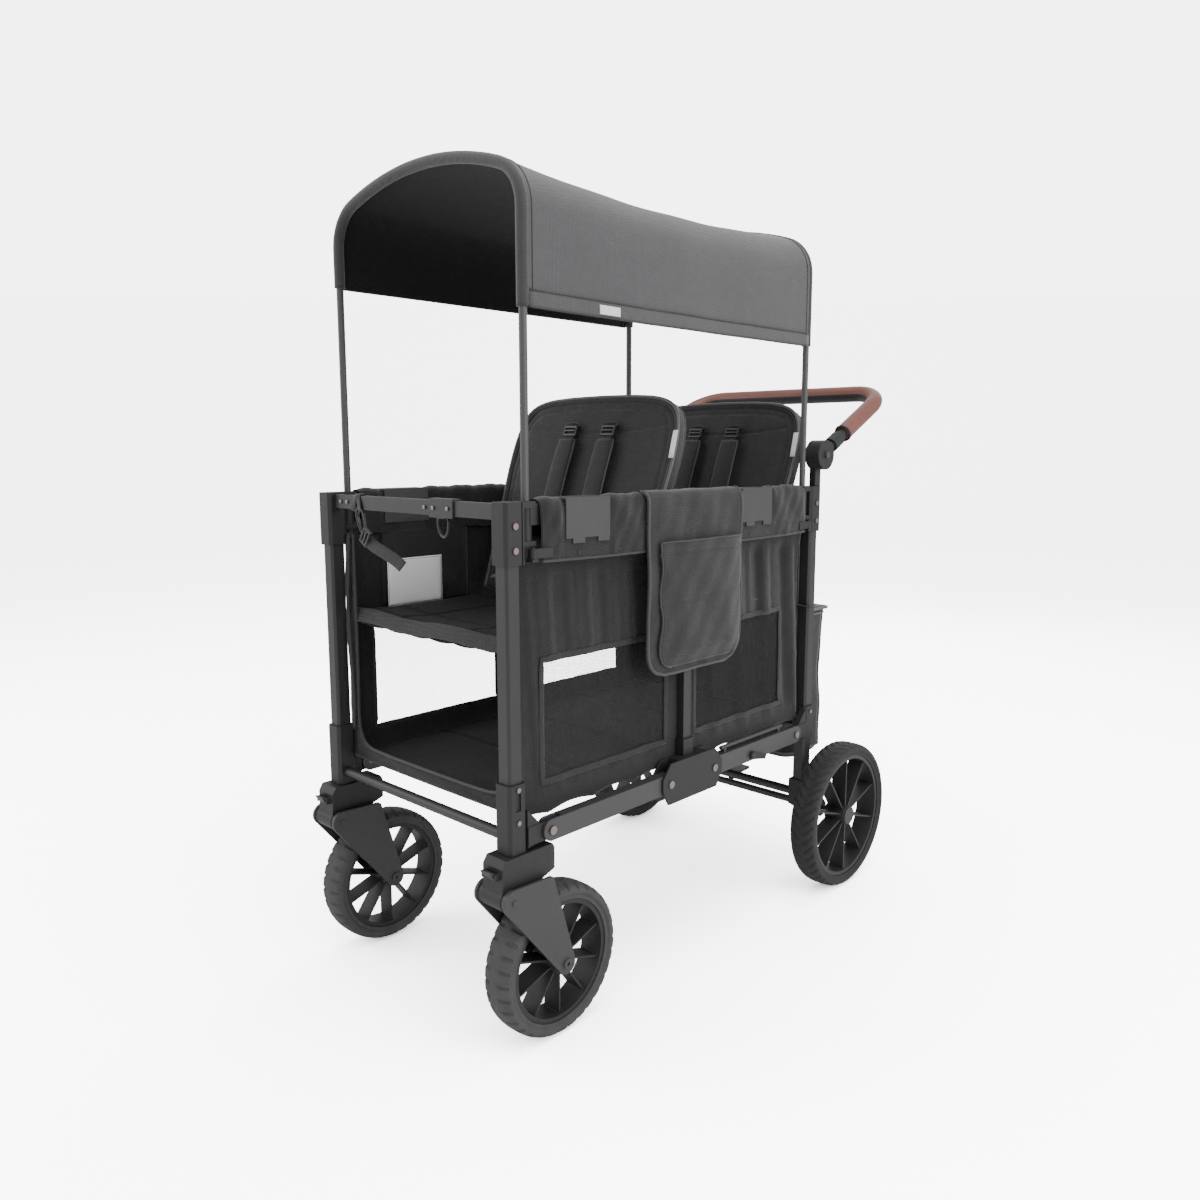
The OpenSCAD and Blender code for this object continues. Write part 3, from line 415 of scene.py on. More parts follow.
for hand in ("near", "far"):
    for end, blocks, tread, depth, material in (("front", 34, block_tread, 0.0034, front_rubber),
                                                ("rear", 46, swept_tread, 0.0028, rear_rubber)):
        tyre(f"{end}_tyre_tread_{hand}", f"{end}_tyre_{hand}", f"{end}_wheel_{hand}",
             blocks, tread, depth, material)

# ---- Tub walls ----
# Plain-woven black polyester hung between the posts: a solid upper half, two windows of open
# mesh in each long side with bound edges, and a scalloped hem over the lower rails.


def woven(name, low, high, pitch=0.0011, rough=0.82, sheen=0.25, depth=0.0005):
    """Plain-woven cloth, its threads a pitch apart in metres, with slubs and a cloudy dye."""
    f = Finish(name)
    x, y, z = [(axis * (math.pi / pitch)).sin() for axis in f.axes()]
    thread = (x * y + y * z + z * x) * 0.5 + 0.5
    slub, shade = f.noise(55, 4), f.noise(5, 2)
    tone = (thread * 0.35 + slub * 0.35 + shade * 0.45 - 0.08).clamped()
    return f.surface(
        Base_Color=f.mix(tone, low, high), Roughness=rough + thread * 0.12 - slub * 0.1,
        Normal=f.bump(thread + slub * 0.8, depth, 0.55), Sheen_Weight=sheen, Sheen_Roughness=0.45,
        Specular_IOR_Level=0.3)


def open_mesh():
    """A warp-knit mesh: thin black threads, 2.4 mm apart, with holes between them."""
    f = Finish("window_mesh")
    x, y, z = f.axes()
    turn = math.pi / 0.0024
    across, up = ((y + x) * turn).sin(), (z * turn).sin()
    thread = f.node("ShaderNodeMath", {"operation": "MAXIMUM"}, {
        0: across.math("ABSOLUTE", across) < 0.3, 1: up.math("ABSOLUTE", up) < 0.3})
    return f.surface(Base_Color=f.mix(f.noise(90), grey(0.02), grey(0.045)), Roughness=0.7,
                     Alpha=thread)


black_cloth = woven("black_polyester", grey(0.005), grey(0.015))
binding = woven("binding_tape", grey(0.006), grey(0.02), pitch=0.0016, rough=0.7, depth=0.0007)
window_mesh = open_mesh()

WALL_X, WALL_Y = 230.0, 396.0
WALL_LOW, WALL_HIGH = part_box("tub_walls")[0].z * 1000 + 2, 812.0
WINDOWS = ((-345, -42), (42, 331))
WINDOW_LOW, WINDOW_HIGH = 420, 618
CLOTH_THICK = 0.0014
FOLD_JOINT, FOLD_ANCHOR, FOLD_KEEP = "fold", at(0, 400, 0), 0.49


def folds(y, z):
    """How far the side cloth stands in from its plane, in millimetres."""
    loose = ramp(abs(y), 18, 60) * ramp(z, 385, 450) * (1 - ramp(z, 735, 770))
    wave = math.sin(y * 0.071 + 0.9 * math.sin(z * 0.011)) + 0.6 * math.sin(y * 0.137 + z * 0.013)
    ripple = 0.5 * math.sin(y * 0.29 + z * 0.021) + 0.35 * math.sin(z * 0.09 + y * 0.03)
    depth = 1.3 + 2.2 * ramp(y, -60, 120)
    return loose * (depth * (wave - 1.0) + ripple)


def hem_z(y, side):
    scallop = abs(math.sin(math.pi * (y + 20) / 104))
    return WALL_LOW - 6 + 7 * scallop if side > 0 else WALL_LOW + 2 - 5 * scallop


def squashed(piece, body="rear_frame"):
    """Rides on a body, on a copy of its own mesh."""
    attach(piece, body)
    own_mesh(piece)
    return piece


def side_wall(side, label):
    def spot(u, v):
        y = -WALL_Y + 2 * WALL_Y * u
        return y, hem_z(y, side) + (WALL_HIGH - hem_z(y, side)) * v

    def on_wall(y, z, proud=0.0):
        return at(side * (WALL_X + proud + folds(y, z)), y, z)

    def window(u, v):
        y, z = spot(u, v)
        return any(a < y < b for a, b in WINDOWS) and WINDOW_LOW < z < WINDOW_HIGH

    wall = grid(f"side_wall_{label}", lambda u, v: on_wall(*spot(u, v)), 132, 72, black_cloth,
                CLOTH_THICK, window)
    squashed(wall)
    for k, (a, b) in enumerate(WINDOWS):
        def pane(u, v, a=a, b=b):
            return on_wall(a - 5 + (b - a + 10) * u,
                           WINDOW_LOW - 6 + (WINDOW_HIGH - WINDOW_LOW + 12) * v, -1.2)
        mesh = grid(f"window_{label}_{k + 1}", pane, 44, 28, window_mesh)
        squashed(mesh)
        corners = [(a, WINDOW_LOW), (b, WINDOW_LOW), (b, WINDOW_HIGH), (a, WINDOW_HIGH)]
        path = [on_wall(y1 + (y2 - y1) * j / 16, z1 + (z2 - z1) * j / 16, 1.4)
                for (y1, z1), (y2, z2) in zip(corners, corners[1:] + corners[:1])
                for j in range(16)]
        squashed(sweep(f"window_binding_{label}_{k + 1}", path, flat_section(11, 1.2), binding,
                       up=Vector((side, 0, 0)), closed=True))
    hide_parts("tub_walls")
    (WALL_HIGH - WALL_LOW) / 1000


def flat_section(width, thick):
    """A strip's cross-section, soft at its edges: pairs across and up, in metres."""
    w, t = width / 2000, thick / 2000
    return [(-w, -t * 0.4), (-w * 0.9, -t), (w * 0.9, -t), (w, -t * 0.4),
            (w, t * 0.4), (w * 0.9, t), (w * 0.45, t * 1.15), (-w * 0.45, t * 1.15),
            (-w * 0.9, t), (-w, t * 0.4)]


def round_section(radius, sides=10):
    r = radius / 1000
    return [(r * math.cos(2 * math.pi * k / sides), r * math.sin(2 * math.pi * k / sides))
            for k in range(sides)]


def sweep(name, path, section, material, up=None, closed=False, swell=None):
    """Carries a cross-section along a path of points. up holds a strip's face that way."""
    n, m = len(path), len(section)
    points, faces, side = [], [], None
    for i, place in enumerate(path):
        before = path[(i - 1) % n] if closed or i else place
        after = path[(i + 1) % n] if closed or i < n - 1 else place
        along = (after - before).normalized()
        if up is not None:
            lift = up[i] if isinstance(up, list) else up
            side = along.cross(lift).normalized()
        elif side is None:
            side = along.orthogonal().normalized()
        else:
            side = (side - along * side.dot(along)).normalized()
        lift = side.cross(along).normalized()
        size = swell(i / max(1, n - 1)) if swell else 1.0
        points += [place + side * a * size + lift * b * size for a, b in section]
    for i in range(n if closed else n - 1):
        j = (i + 1) % n
        for k in range(m):
            after = (k + 1) % m
            faces.append((i * m + k, i * m + after, j * m + after, j * m + k))
    if not closed:
        faces += [tuple(reversed(range(m))), tuple((n - 1) * m + k for k in range(m))]
    return mesh_of(name, points, faces, material)


SIDES = ((1, "near"), (-1, "far"))
for side, label in SIDES:
    side_wall(side, label)

# ---- End walls, entry trim and floor ----
# The same cloth closes the rear end. The front end is cut away in a deep U for climbing in, with
# a piped edge and a soft rolled binding. The floor is a quilted mat with three seams across it.


def softened(points):
    """Cuts the corners of a line of points, twice over."""
    for _ in range(2):
        cut = [points[0]]
        for a, b in zip(points, points[1:]):
            cut += [[p * 0.75 + q * 0.25 for p, q in zip(a, b)],
                    [p * 0.25 + q * 0.75 for p, q in zip(a, b)]]
        points = cut + [points[-1]]
    return points


def along(points, t):
    """The point at share t of the length of a line of points."""
    spans = [math.dist(a, b) for a, b in zip(points, points[1:])]
    left = t * sum(spans)
    for a, b, span in zip(points, points[1:], spans):
        if left <= span or b is points[-1]:
            share = min(1.0, left / span)
            return [p + (q - p) * share for p, q in zip(a, b)]
        left -= span
    return points[-1]


REAR_HALF, REAR_HIGH = 228, 818


def rear_point(u, v):
    x = REAR_HALF * (2 * u - 1)
    low = WALL_LOW + 4 + 6 * abs(math.sin(math.pi * x / 90))
    z = low + (REAR_HIGH - low) * v
    slack = ramp(REAR_HALF - abs(x), 0, 40) * ramp(z, 380, 440) * (1 - ramp(z, 770, 812))
    wave = 2.5 + 1.8 * math.sin(x * 0.06 + z * 0.01) + math.sin(z * 0.045)
    return at(x, WALL_Y - 1.5 - slack * wave, z)


rear_wall = grid("rear_wall", rear_point, 64, 56, black_cloth, CLOTH_THICK)
squashed(rear_wall)

ENTRY = softened([[-204, 792], [-202, 640], [-204, 500], [-206, 440], [-190, 406], [-150, 400],
                  [0, 399], [150, 400], [190, 406], [206, 440], [204, 500], [202, 640], [204, 792]])
BORDER = [[-229, 792], [-229, 500], [-229, 376], [-120, 375], [0, 375], [120, 375],
          [229, 376], [229, 500], [229, 792]]


def entry_point(u, v):
    x, z = [p + (q - p) * u for p, q in zip(along(ENTRY, v), along(BORDER, v))]
    wave = 1.6 * math.sin(z * 0.045 + x * 0.02) * u * (1 - u) * 4
    return at(x, -WALL_Y + 1.5 + wave, z)


entry = grid("entry_surround", entry_point, 5, 150, black_cloth, CLOTH_THICK)
squashed(entry)


def satin(name, tone, rough=0.45):
    """Piping: a cord under a smooth bias strip, with the puckers of its stitching."""
    f = Finish(name)
    pucker = f.noise(240, 3)
    return f.surface(Base_Color=f.mix(pucker, grey(tone * 0.7), grey(tone * 1.3)),
                     Roughness=rough + pucker * 0.15, Normal=f.bump(pucker, 0.0006, 0.5),
                     Sheen_Weight=0.15, Specular_IOR_Level=0.45)


dark_piping = satin("dark_piping", 0.016)
pale_piping = satin("pale_piping", 0.07)
edge_piping = satin("edge_piping", 0.03)
entry_line = [at(x, -WALL_Y, z) for x, z in (along(ENTRY, k / 150) for k in range(151))]
squashed(sweep("entry_piping", entry_line, round_section(2.6), dark_piping))
for side, label in SIDES:
    path = [at(side * (214 + 3 * math.sin(z * 0.021)), -WALL_Y - 5.5 - 2 * math.sin(z * 0.013), z)
            for z in range(792, 425, -8)]
    squashed(sweep(f"rolled_binding_{label}", path, round_section(6, 14), dark_piping,
                   swell=lambda t: 0.62 + 0.3 * math.sin(t * 9.0) ** 2 + 0.1 * math.sin(t * 31)))

MAT_X, MAT_Y, MAT_Z = 226, 391, 378
MAT_SEAMS, MAT_CHANNEL = (-196, 0, 196), 76


def mat_point(u, v):
    """One closed skin: v runs over the top from edge to edge and back under."""
    lying, turn = u * 2 - 1, v * 2 * math.pi
    up = math.sin(turn)
    x, y = power(math.cos(turn), 0.35) * MAT_X, lying * MAT_Y
    dent = 2.6 * (1 - ramp(min(abs(y - seam) for seam in MAT_SEAMS), 0, 9))
    dent += 2.0 * (1 - ramp(abs(abs(x) - MAT_CHANNEL), 0, 7))
    z = MAT_Z + power(up, 0.5) * (2 + 5.5 * ramp(1 - abs(lying), 0, 0.012))
    if up > 0:
        z += 0.8 * math.sin(x * 0.05) * math.sin(y * 0.04) - dent * ramp(up, 0.1, 0.5)
    return at(x, y, z)


def sewn_shut(piece, ends=True):
    """Closes a skin's seam, and its ends too, and turns its faces outwards."""
    skin = bmesh.new()
    skin.from_mesh(piece.data)
    bmesh.ops.remove_doubles(skin, verts=skin.verts, dist=1e-6)
    if ends:
        bmesh.ops.holes_fill(skin, edges=[e for e in skin.edges if e.is_boundary], sides=0)
    bmesh.ops.recalc_face_normals(skin, faces=skin.faces)
    skin.to_mesh(piece.data)
    skin.free()
    return piece


mat_cloth = woven("mat_polyester", grey(0.002), grey(0.006), pitch=0.0018, sheen=0.05, depth=0.0009)
mat = sewn_shut(grid("floor_mat", mat_point, 150, 96, mat_cloth))
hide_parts("tub_floor")
squashed(mat)

# ---- Rail covers ----
# A padded sleeve of the same cloth is wrapped over each half of the folding top rails and closed
# with a piped hem and two press studs, so that it turns with its rail.

COVER = softened([[219.6, 790], [219.4, 852], [223, 864], [231, 868.5], [238, 869.5], [245, 868.5],
                  [253, 864], [256.8, 852], [257, 822], [256, 795], [256.2, 776]])
RAIL_X, RAIL_Z, SKIRT_Z = 238, 835, 800
CLIPS = {"front": -268, "rear": 192}


def cover_point(side, y1, y2, clip):
    """Loose between its ends, and pressed flat under the seat clip."""
    def point(u, v):
        y = y1 + (y2 - y1) * v
        x, z = along(COVER, u)
        held = 1 - ramp(abs(y - clip), 50, 64)
        end = 1 - ramp(min(abs(y - y1), abs(y - y2)), 0, 14)
        loose = 1.5 + 1.3 * math.sin(y * 0.085 + z * 0.05) + 0.7 * math.sin(y * 0.21 - z * 0.11)
        puff = (1 - held) * loose - (held * 0.9 + end * 2.2)
        out = Vector((x - RAIL_X, z - RAIL_Z)).normalized()
        if z < SKIRT_Z and x > RAIL_X:
            out = Vector((1, 0))
            z -= 3.0 * math.sin((y - y1) / (y2 - y1) * math.pi) * ramp(SKIRT_Z - z, 0, 20)
            puff = puff * 0.7 - 0.4
        return at(side * (x + out.x * puff), y, z + out.y * puff * 0.7)
    return point


STUD_R, STUD_SIDES = 0.0048, 16
STUD_PROFILE = [(0, 0.62), (0.45, 0.56), (0.8, 0.36), (0.96, 0.12), (1.0, -0.2)]


def stud(name, place, normal):
    """A low nylon dome, turned about its own axis."""
    side = normal.orthogonal().normalized()
    up, n = normal.cross(side), STUD_SIDES
    spokes = [side * math.cos(a) + up * math.sin(a)
              for a in (2 * math.pi * k / n for k in range(n))]
    points = [place + normal * STUD_PROFILE[0][1] * STUD_R]
    for r, h in STUD_PROFILE[1:]:
        points += [place + spoke * r * STUD_R + normal * h * STUD_R for spoke in spokes]
    faces = [(0, 1 + k, 1 + (k + 1) % n) for k in range(n)]
    for a in range(1, 1 + n * (len(STUD_PROFILE) - 2), n):
        faces += [(a + k, a + n + k, a + n + (k + 1) % n, a + (k + 1) % n) for k in range(n)]
    return mesh_of(name, points, faces, nylon)


for side, label in SIDES:
    for half, y1, y2 in (("front", -366, -2), ("rear", 2, 366)):
        body = f"{half}_top_rails"
        point = cover_point(side, y1, y2, CLIPS[half])
        cover = grid(f"{half}_rail_cover_{label}", point, 44, 110, black_cloth, CLOTH_THICK)
        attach(cover, body)
        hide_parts("tub_walls")
        hem = [point(1.0, k / 90) for k in range(91)]
        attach(sweep(f"{half}_rail_cover_piping_{label}", hem, round_section(2.4), dark_piping),
                body)
        for k, y in enumerate((CLIPS[half] - 18, CLIPS[half] + 74)):
            place = point(0.955, (y - y1) / (y2 - y1))
            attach(stud(f"{half}_press_stud_{label}_{k + 1}", place, Vector((side, 0, 0))), body)

# ---- Seat cushions ----
# Two foam seats sewn in the black cloth, each sunk between the side walls on a webbing sling,
# with stitched channels, piped sides and a thick bound edge at the front.


def evaluated(piece):
    """Takes the modifiers' result as the piece's own mesh."""
    graph = bpy.context.evaluated_depsgraph_get()
    mesh = bpy.data.meshes.new_from_object(piece.evaluated_get(graph), depsgraph=graph)
    piece.modifiers.clear()
    piece.data = mesh
    return mesh


VOXEL, CLOTH_PRESSURE, CLOTH_FRAMES = 0.006, 4, 20


def foam(name, outline, thick, cap, material):
    """A stuffed cover: an outline in its own plane, filled and blown up as cloth by cap at most."""
    n = len(outline)
    points = [Vector((x / 1000, y / 1000, d / 1000))
              for d in (-thick / 2, thick / 2) for x, y in outline]
    faces = [tuple(reversed(range(n))), tuple(range(n, 2 * n))]
    faces += [(k, (k + 1) % n, n + (k + 1) % n, n + k) for k in range(n)]
    piece = mesh_of(name, points, faces, material)
    voxels = piece.modifiers.new("Voxels", "REMESH")
    voxels.mode, voxels.voxel_size = "VOXEL", VOXEL
    evaluated(piece)
    rest = [v.co.copy() for v in piece.data.vertices]
    cloth = piece.modifiers.new("Cloth", "CLOTH")
    cloth.settings.use_pressure = True
    cloth.settings.uniform_pressure_force = CLOTH_PRESSURE
    cloth.settings.effector_weights.gravity = 0
    cloth.settings.quality = 5
    for number in range(1, CLOTH_FRAMES + 1):
        bpy.context.scene.frame_set(number)
    blown = [v.co.copy() for v in
             piece.evaluated_get(bpy.context.evaluated_depsgraph_get()).data.vertices]
    piece.modifiers.clear()
    bpy.context.scene.frame_set(1)
    for vertex, a, b in zip(piece.data.vertices, rest, blown):
        move = b - a
        vertex.co = a + move * min(1.0, cap / 1000 / max(move.length, 1e-9))
    smooth = piece.modifiers.new("Smooth", "SUBSURF")
    smooth.levels = smooth.render_levels = 1
    evaluated(piece)
    piece.data.polygons.foreach_set("use_smooth", [True] * len(piece.data.polygons))
    return piece


def box_outline(half_w, y1, y2, corner):
    """A rectangle with rounded corners, as a closed line of points."""
    points, inner = [], half_w - corner
    for cx, cy, start in ((inner, y2 - corner, 0), (-inner, y2 - corner, 90),
                          (-inner, y1 + corner, 180), (inner, y1 + corner, 270)):
        for k in range(7):
            a = math.radians(start + 15 * k)
            points.append([cx + corner * math.cos(a), cy + corner * math.sin(a)])
    return points


def placed(piece, move):
    """Moves each vertex of a piece from its own plane to its place on the wagon."""
    for vertex in piece.data.vertices:
        vertex.co = move(vertex.co * 1000)
    piece.data.update()
    return piece


SEAT_Z, SEAT_PITCH, HINGE_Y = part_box("seat_bases")[1].z * 1000, 395.0, -97.0
SEAT_HALF, SEAT_DEEP, SEAT_MIDDLE = 221, 281.0, HINGE_Y - 150
seat_cloth = woven("seat_polyester", grey(0.002), grey(0.006), sheen=0.05)
cushion = foam("front_seat_cushion", box_outline(SEAT_HALF, -SEAT_DEEP / 2, SEAT_DEEP / 2, 18),
               13, 5, seat_cloth)
for vertex in cushion.data.vertices:
    x, y, z = vertex.co * 1000
    channel = min(abs(abs(x) - 92), abs(y + 62) * 1.3)
    vertex.co.z -= math.copysign(0.0026, z) * (1 - ramp(channel, 0, 9))
rear_cushion = link("rear_seat_cushion", cushion.data.copy(), None)
for piece, label, y in ((cushion, "front", SEAT_MIDDLE),
                        (rear_cushion, "rear", SEAT_MIDDLE + SEAT_PITCH)):
    def sling(co, y=y):
        x, along_y, up = co
        dip = (7 * (1 - ramp(-along_y, 60, 140)) + 3) * (1 - (x / 225) ** 2)
        return at(x, y + along_y, SEAT_Z - 11 + up - dip)
    placed(piece, sling)
    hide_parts("seat_bases")
    squashed(piece)
    front_y = -SEAT_DEEP / 2 - 2
    bound = [sling((x, front_y, 0.5 + 2.2 * math.sin(x * 0.03))) for x in range(-222, 223, 6)]
    squashed(sweep(f"{label}_seat_binding", bound, flat_section(26, 4), binding,
                   up=Vector((0, -0.9, 0.45))))
    for k, s in enumerate((-1, 1)):
        edge = [sling((s * 222, run, 1)) for run in range(int(front_y), int(SEAT_DEEP / 2), 8)]
        squashed(sweep(f"{label}_seat_piping_{k + 1}", edge, round_section(2.4), dark_piping))
    under = [sling((x, front_y + 22, -13 - 3 * abs(math.sin(x * 0.05))))
             for x in range(-200, 201, 8)]
    squashed(sweep(f"{label}_seat_sling_webbing", under, flat_section(38, 2.4), binding,
                   up=Vector((0, 0, 1))))

# ---- Seat backs ----
# Shield-shaped foam panels hinged at the seats' rear edge and leaning back, with a pale piping
# round the front, a gusset and a dark piping behind, and a blank woven tag in the near edge.

LEAN = math.radians(20)
BACK_EDGE = softened([[0, 408], [84, 407], [150, 402], [190, 386], [208, 352], [213.5, 302],
                      [212, 240], [204, 120], [197, 9]])
BACK_OUTLINE = BACK_EDGE + [[-x, up] for x, up in reversed(BACK_EDGE) if x > 0.01]
BACK_ROUND = [[-x, up] for x, up in reversed(BACK_EDGE)] + BACK_EDGE[1:]
QUILT_IN = 24


def edge_distance(x, up):
    return min(math.dist((abs(x), up), p) for p in BACK_EDGE)


back_cloth = woven("seat_back_polyester", grey(0.014), grey(0.036), pitch=0.0013, rough=0.74)
black_padded = woven("black_padded_polyester", grey(0.0075), grey(0.0215), pitch=0.0013, rough=0.74)
back = foam("front_seat_back_pad", BACK_OUTLINE, 15, 4, back_cloth)
for vertex in back.data.vertices:
    x, up, d = vertex.co * 1000
    inset = edge_distance(x, up)
    cross = (1 - ramp(abs(up - 336 - 0.0004 * x * x), 0, 5)) * (inset > QUILT_IN)
    slots = [1.9 * (1 - ramp(math.hypot((x - s * 50) / 2.6, up - 346), 3, 8)) for s in (-1, 1)]
    seam = max(1 - ramp(abs(inset - QUILT_IN), 0, 5), cross, *slots)
    wrinkle = 0.0007 * math.sin(x * 0.045 + up * 0.03) * math.sin(up * 0.055 - x * 0.017)
    vertex.co.z += wrinkle * (abs(d) > 3) - math.copysign(0.0021, d) * seam
rear_back = link("rear_seat_back_pad", back.data.copy(), None)


def on_back(hinge):
    """Places across, depth from the front face, and height along the back, all in millimetres."""
    def place(x, depth, up):
        d = depth - 7
        return at(x, hinge + d * math.cos(LEAN) + up * math.sin(LEAN),
                  SEAT_Z - d * math.sin(LEAN) + up * math.cos(LEAN))
    return place


def woven_tag():
    f = Finish("blank_white_tag")
    thread = f.noise(700, 2)
    return f.surface(Base_Color=f.mix(thread, (0.62, 0.62, 0.62, 1), (0.8, 0.8, 0.79, 1)),
                     Roughness=0.7, Normal=f.bump(thread, 0.0003, 0.4))


tag_white = woven_tag()
FACE = Vector((0, -math.cos(LEAN), math.sin(LEAN)))
ACROSS, UP_BACK = Vector((1, 0, 0)), Vector((0, math.sin(LEAN), math.cos(LEAN)))
BACKS = (("front", HINGE_Y, back), ("rear", HINGE_Y + SEAT_PITCH, rear_back))
for label, hinge, piece in BACKS:
    body = f"{label}_seat_back"
    place = on_back(hinge)
    placed(piece, lambda co, place=place: place(co.x, 12 - co.z, co.y))
    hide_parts(f"{label}_seat_back")
    squashed(piece, body)
    for name, depth, radius, material in (("piping", 1.5, 3.0, pale_piping),
                                          ("rear_piping", 21, 2.4, dark_piping)):
        path = [place(x * 0.998, depth, up) for x, up in BACK_ROUND]
        squashed(sweep(f"{label}_seat_back_{name}", path, round_section(radius), material), body)
    outline = [Vector(p) for p in BACK_ROUND]
    runs = [(outline[min(k + 1, len(outline) - 1)] - outline[max(k - 1, 0)]).normalized()
            for k in range(len(outline))]
    band = [place(p.x + run.y * 4.5, 11, p.y - run.x * 4.5) for p, run in zip(outline, runs)]
    squashed(sweep(f"{label}_seat_back_gusset", band, flat_section(19, 10), back_cloth,
                   up=[ACROSS * -run.y + UP_BACK * run.x for run in runs]), body)
    tag = [place(209 - 3.2 * t, -1.2, 285 + 52 * t) for t in (0, 0.25, 0.5, 0.75, 1)]
    squashed(sweep(f"{label}_seat_back_tag", tag, flat_section(11, 0.8), tag_white, up=FACE), body)

# ---- Harnesses ----
# Each seat has a five-point harness of ribbed webbing: two shoulder straps, out of slots in the
# back and through ladder buckles, with sewn pads over them, and lap and crotch straps. All meet
# in one buckle.


def webbing_cloth():
    f = Finish("ribbed_webbing")
    x, y, z = f.axes()
    rib = ((x + y * 0.35 + z * 0.35) * (math.pi / 0.0013)).sin() * 0.5 + 0.5
    slub = f.noise(300, 3)
    return f.surface(Base_Color=f.mix(rib * 0.5 + slub * 0.5, grey(0.008), grey(0.03)),
                     Roughness=0.62 + slub * 0.2, Normal=f.bump(rib + slub * 0.5, 0.0005, 0.5),
                     Sheen_Weight=0.2, Specular_IOR_Level=0.35)


webbing = webbing_cloth()
gloss_nylon = moulded("buckle_nylon", 0.024, 0.3, grain=900)


def bar(name, centre, side, up, out, size, material, corner=0.0012):
    """A small moulded block with its corners rounded, size across, up and out in metres."""
    made = bmesh.new()
    bmesh.ops.create_cube(made, size=1.0)
    for v in made.verts:
        v.co = centre + side * v.co.x * size[0] + up * v.co.y * size[1] + out * v.co.z * size[2]
    bmesh.ops.recalc_face_normals(made, faces=made.faces)
    bmesh.ops.bevel(made, geom=list(made.edges), offset=min(corner, min(size) * 0.4), segments=2,
                    affect="EDGES", profile=0.7)
    mesh = bpy.data.meshes.new(name)
    made.to_mesh(mesh)
    made.free()
    return link(name, mesh, material, smooth=False)


def joined(name, parts):
    """Joins the pieces of one moulding or one row of stitches into a single piece."""
    points, faces = [], []
    for part in parts:
        start = len(points)
        points += [v.co.copy() for v in part.data.vertices]
        faces += [tuple(start + k for k in p.vertices) for p in part.data.polygons]
    material = parts[0].data.materials[0]
    flat = not parts[0].data.polygons[0].use_smooth
    for part in parts:
        bpy.data.objects.remove(part)
    return mesh_of(name, points, faces, material, not flat)


STRAP, UPRIGHT = flat_section(25, 1.6), Vector((0, 0, 1))
PAD_SHARES = [k / 24 for k in range(25)]
PAD_SECTION = [(w * 0.0225, h * 0.0052) for w, h in (
    (-1, 0), (-0.97, -0.5), (-0.8, -0.8), (0.8, -0.8), (0.97, -0.5), (1, 0), (0.95, 0.55),
    (0.7, 0.95), (0.35, 1.15), (0, 1.22), (-0.35, 1.15), (-0.7, 0.95), (-0.95, 0.55))]


def pad_width(t):
    """A shoulder pad's share of its full width, narrower at both ends."""
    return 1.0 - 0.09 * abs(2 * t - 1) ** 6


